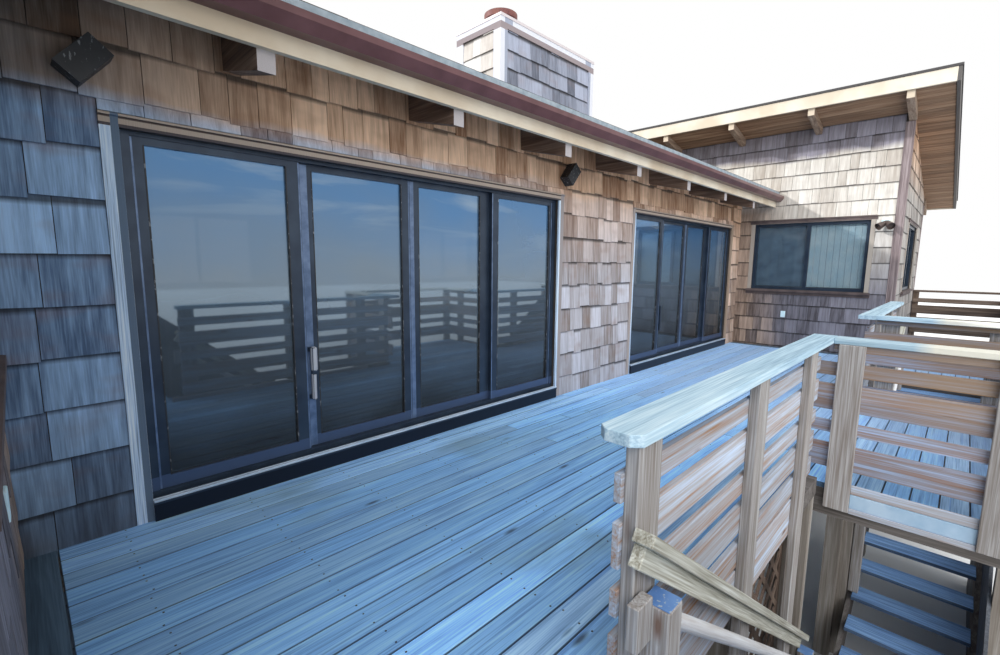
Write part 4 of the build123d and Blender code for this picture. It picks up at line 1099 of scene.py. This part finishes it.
length = (RIDGE - EAVE) / FLAT
tabs = roof_tabs((-HALF_COURT, EAVE, cover_top(EAVE)), (1, 0, 0), (0, FLAT, RISE), 2 * HALF_COURT, length)
tabs += roof_tabs((HALF_COURT, BACK - EAVE, cover_top(EAVE)), (-1, 0, 0), (0, -FLAT, RISE), 2 * HALF_COURT, length)
join_copies("main_roof_tabs", SHINGLE, tabs, ROOF, "roof_shingles")
strips = [board(-HALF_COURT, HALF_COURT, y - 0.004, y + 0.002, cover_top(EAVE) - 0.05, cover_top(EAVE) + 0.001,
                edge=0.001) for y in (EAVE, BACK - EAVE)]
join_copies("roof_edge_strips", BLOCK, strips, DRIP_METAL, "roof_shingles")
for side, s in SIDES:
    begin = (s * WING_EAVE, 6.67 if s < 0 else -2.88, wing_under(WING_EAVE) + ROOF_THICK)
    tabs = roof_tabs(begin, (0, s, 0), (-s * FLAT, 0, RISE), 9.55, (WING_EAVE - WING_RIDGE) / FLAT)
    join_copies(side + "_wing_roof_tabs", SHINGLE, tabs, ROOF, "roof_shingles")

# %% [markdown]
# Seen from below, the wing roofs show narrow boards that run from front to back.

# %% Soffit boards
SOFFIT_PITCH = 0.1415
for side, s in SIDES:
    boards = []
    inwards = np.array((-s * FLAT, 0, RISE))
    turn = ((0, 1, 0), inwards, np.cross((0, 1, 0), inwards))
    for k in range(35):
        x = 4.2 + (k + 0.5) * SOFFIT_PITCH
        boards.append(sawn((s * x, 1.895, wing_under(x) - 0.003), (9.44, 0.14, 0.012), turn))
    join_copies(side + "_wing_soffit_boards", BLOCK, boards, SOFFIT, "roof_boards")

# %% [markdown]
# Small things finish the doors: a bright track under each, the pale pull, the bright edges of the stiles
# and the dark seals that hold the glass. A door has four panels, and the middle two overlap their neighbours.

# %% Tracks and pulls
JAMB = 0.045
OVERLAP = 0.035


def panel_width(a, b):
    return (b - a - 2 * JAMB) / 4


tracks, pulls = [], []
for level in (0, STOREY):
    for a, b in DOORS:
        z = level + 0.112
        tracks.append(board(a, b, -0.066, -0.052, z - 0.008, z + 0.012, edge=0.002))
        tracks.append(board(a, b, -0.03, -0.018, z - 0.004, z + 0.008, edge=0.002))
        if a < 0:
            x = a + JAMB + panel_width(a, b) - OVERLAP + 0.0665
            pulls.append(board(x - 0.006, x + 0.036, 0.005, 0.042, level + 0.70, level + 0.873, "z", 0.014))
            pulls.append(board(x - 0.006, x + 0.024, 0.005, 0.042, level + 0.496, level + 0.685, "z", 0.010))
join_copies("door_tracks", BLOCK, tracks, BRIGHT_METAL, "dark_frame")
join_copies("door_pulls", BLOCK, pulls, CREAM_PLASTIC, "dark_frame")

# %% Door stile edges
STILES = ((0.060, 0.087), (0.133, 0.075), (0.090, 0.150), (0.082, 0.045))  # the left and right stile of each panel
bright, dark = [], []
for level in (0, STOREY):
    for a, b in DOORS:
        z0, z1 = level + 0.15, level + 2.105
        for k, (left, right) in enumerate(STILES):
            xa = a + JAMB + k * panel_width(a, b) - (OVERLAP if k == 1 else 0)
            xb = a + JAMB + (k + 1) * panel_width(a, b) + (OVERLAP if k == 2 else 0)
            y = 0.06 if k in (1, 2) else 0.02
            for x, s in ((xa, 1), (xb, -1)):
                reach = left * (0.75 if k == 1 else 0.45) if k in (1, 2) and s > 0 else 0.012
                bright.append(board(x + s * 0.002, x + s * reach, y - 0.0015, y + 0.003, z0, z1, "z", 0.001))
            for x in (xa + left, xb - right):
                dark.append(board(x - 0.004, x + 0.004, y - 0.001, y + 0.016, z0 + 0.07, z1 - 0.035, "z", 0.001))
join_copies("door_stile_edges", BLOCK, bright, STILE_EDGE, "dark_frame")
join_copies("door_glass_seals", BLOCK, dark, PLASTIC, "dark_frame")

# %% [markdown]
# Behind the wing's window hang upright blinds, and a darker curtain beside them. Both are narrow strips
# whose depth changes from one to the next. Under the window sits an outlet, and near the corner a lamp plate.

# %% Blinds
def strip(x, s, y, half, k):
    """The k-th strip of a row behind a window, half as wide as half says."""
    return board(x, x + s * (0.003 + 0.004 * (k % 2)), y - half, y + half, 3.86, 4.92, "z", 0.001)


blinds, curtains = [], []
for side, s in SIDES:
    blinds += [strip(s * 4.982, s, -1.93 + k * 0.092, 0.044, k) for k in range(9)]
    curtains += [strip(s * 4.982, s, -1.08 + k * 0.098, 0.05, k) for k in range(8)]
join_copies("wing_window_blinds", BLOCK, blinds, BLIND, "glass")

# %% Outlets and lamp plates
small = []
for side, s in SIDES:
    small.append(board(s * 4.888, s * 4.888 + s * 0.03, -0.90, -0.826, 3.30, 3.415, "z", 0.004))
    small.append(board(s * 4.87, s * HALF_COURT, -2.23, -2.13, 4.87, 4.97, "z", 0.01))
join_copies("outlets", BLOCK, small, BLIND, "speaker_plastic")

# %% [markdown]
# Two small lamp heads turn out from a plate near each wing's corner. A head is a cone drawn narrow at its root;
# its wide end is inset and pushed in, so it is a real cup, and one head is copied to every place.

# %% Lamp heads
bpy.ops.object.select_all(action="DESELECT")
bpy.ops.mesh.primitive_cone_add(vertices=16, radius1=0.058, radius2=0.03, depth=0.15)
bpy.ops.object.mode_set(mode="EDIT")
bpy.ops.mesh.select_all(action="DESELECT")
bpy.ops.object.mode_set(mode="OBJECT")
for face in bpy.context.object.data.polygons:
    face.select = face.normal.z < -0.9
bpy.ops.object.mode_set(mode="EDIT")
bpy.ops.mesh.inset(thickness=0.006)
bpy.ops.mesh.extrude_region_move(TRANSFORM_OT_translate={"value": (0, 0, 0.03)})
bpy.ops.object.mode_set(mode="OBJECT")
points, faces = read_pattern()
# The inset lists its faces in an order that changes from run to run, so they are sorted.
HEAD = points, sorted(min(f[i:] + f[:i] for i in range(len(f))) for f in faces)
heads = []
for side, s in SIDES:
    for way in ((-0.75 * s, -0.45, -0.5), (-0.6 * s, 0.62, -0.5)):
        way = Vector(way).normalized()
        turn = np.array((-way).to_track_quat("Z", "Y").to_matrix())
        root = np.array((s * 4.862, -2.2, 4.92)) + np.array(way) * 0.08
        heads.append((HEAD[0] @ turn.T + root, HEAD[0], 0.5, np.ones(len(HEAD[0]))))
join_copies("lamp_heads", HEAD, heads, BRONZE, "speaker_plastic")

# %% Curtains
join_copies("wing_window_curtains", BLOCK, curtains, CURTAIN, "glass")

# %% [markdown]
# The floor is a plain pale plane. The world lights softly and shows white to the camera.
# One low lamp comes from behind the building, so the wing's wall catches it above the shadow of the court's eave.

# %% World
world = bpy.data.worlds.new("studio")
bpy.context.scene.world = world
world.use_nodes = True
tree = world.node_tree
back = tree.nodes["Background"]
back.inputs["Color"].default_value = (0.93, 0.97, 1.0, 1)
back.inputs["Strength"].default_value = 0.85
white = add_node(tree, "ShaderNodeBackground", Color=(1, 1, 1))
rays = tree.nodes.new("ShaderNodeLightPath").outputs
mirrored = reckon("MAXIMUM", rays["Is Glossy Ray"], rays["Is Transmission Ray"])
seen = reckon("MAXIMUM", rays["Is Camera Ray"], mirrored)
both = tree.nodes.new("ShaderNodeMixShader")
for socket, value in zip(both.inputs, (seen, back.outputs[0], white.outputs[0])):
    feed(socket, value)
feed(tree.nodes["World Output"].inputs["Surface"], both.outputs[0])
bpy.context.scene.view_settings.view_transform = "Standard"
print("world", world.name)

# %% Floor and lamps
bpy.ops.object.select_all(action="DESELECT")
bpy.ops.mesh.primitive_plane_add(size=160, location=(0, 0, -0.002))
ground = bpy.context.object
ground.name = "studio_floor"
finish, tree, shader = new_finish("pale_floor", 0.9)
shader.inputs["Base Color"].default_value = (0.82, 0.82, 0.81, 1)
ground.data.materials.append(finish)


def lamp(name, strength, width, way):
    data = bpy.data.lights.new(name, "SUN")
    data.energy = strength
    data.angle = width
    light = bpy.data.objects.new(name, data)
    light.rotation_euler = Vector(way).to_track_quat("-Z", "Y").to_euler()
    bpy.context.collection.objects.link(light)
    print(name, "strength", strength)


lamp("low_lamp", 2.6, 0.04, (0.9, -1.0, -0.68))
lamp("soft_lamp", 2.45, 1.2, (0.5, 0.65, -0.6))
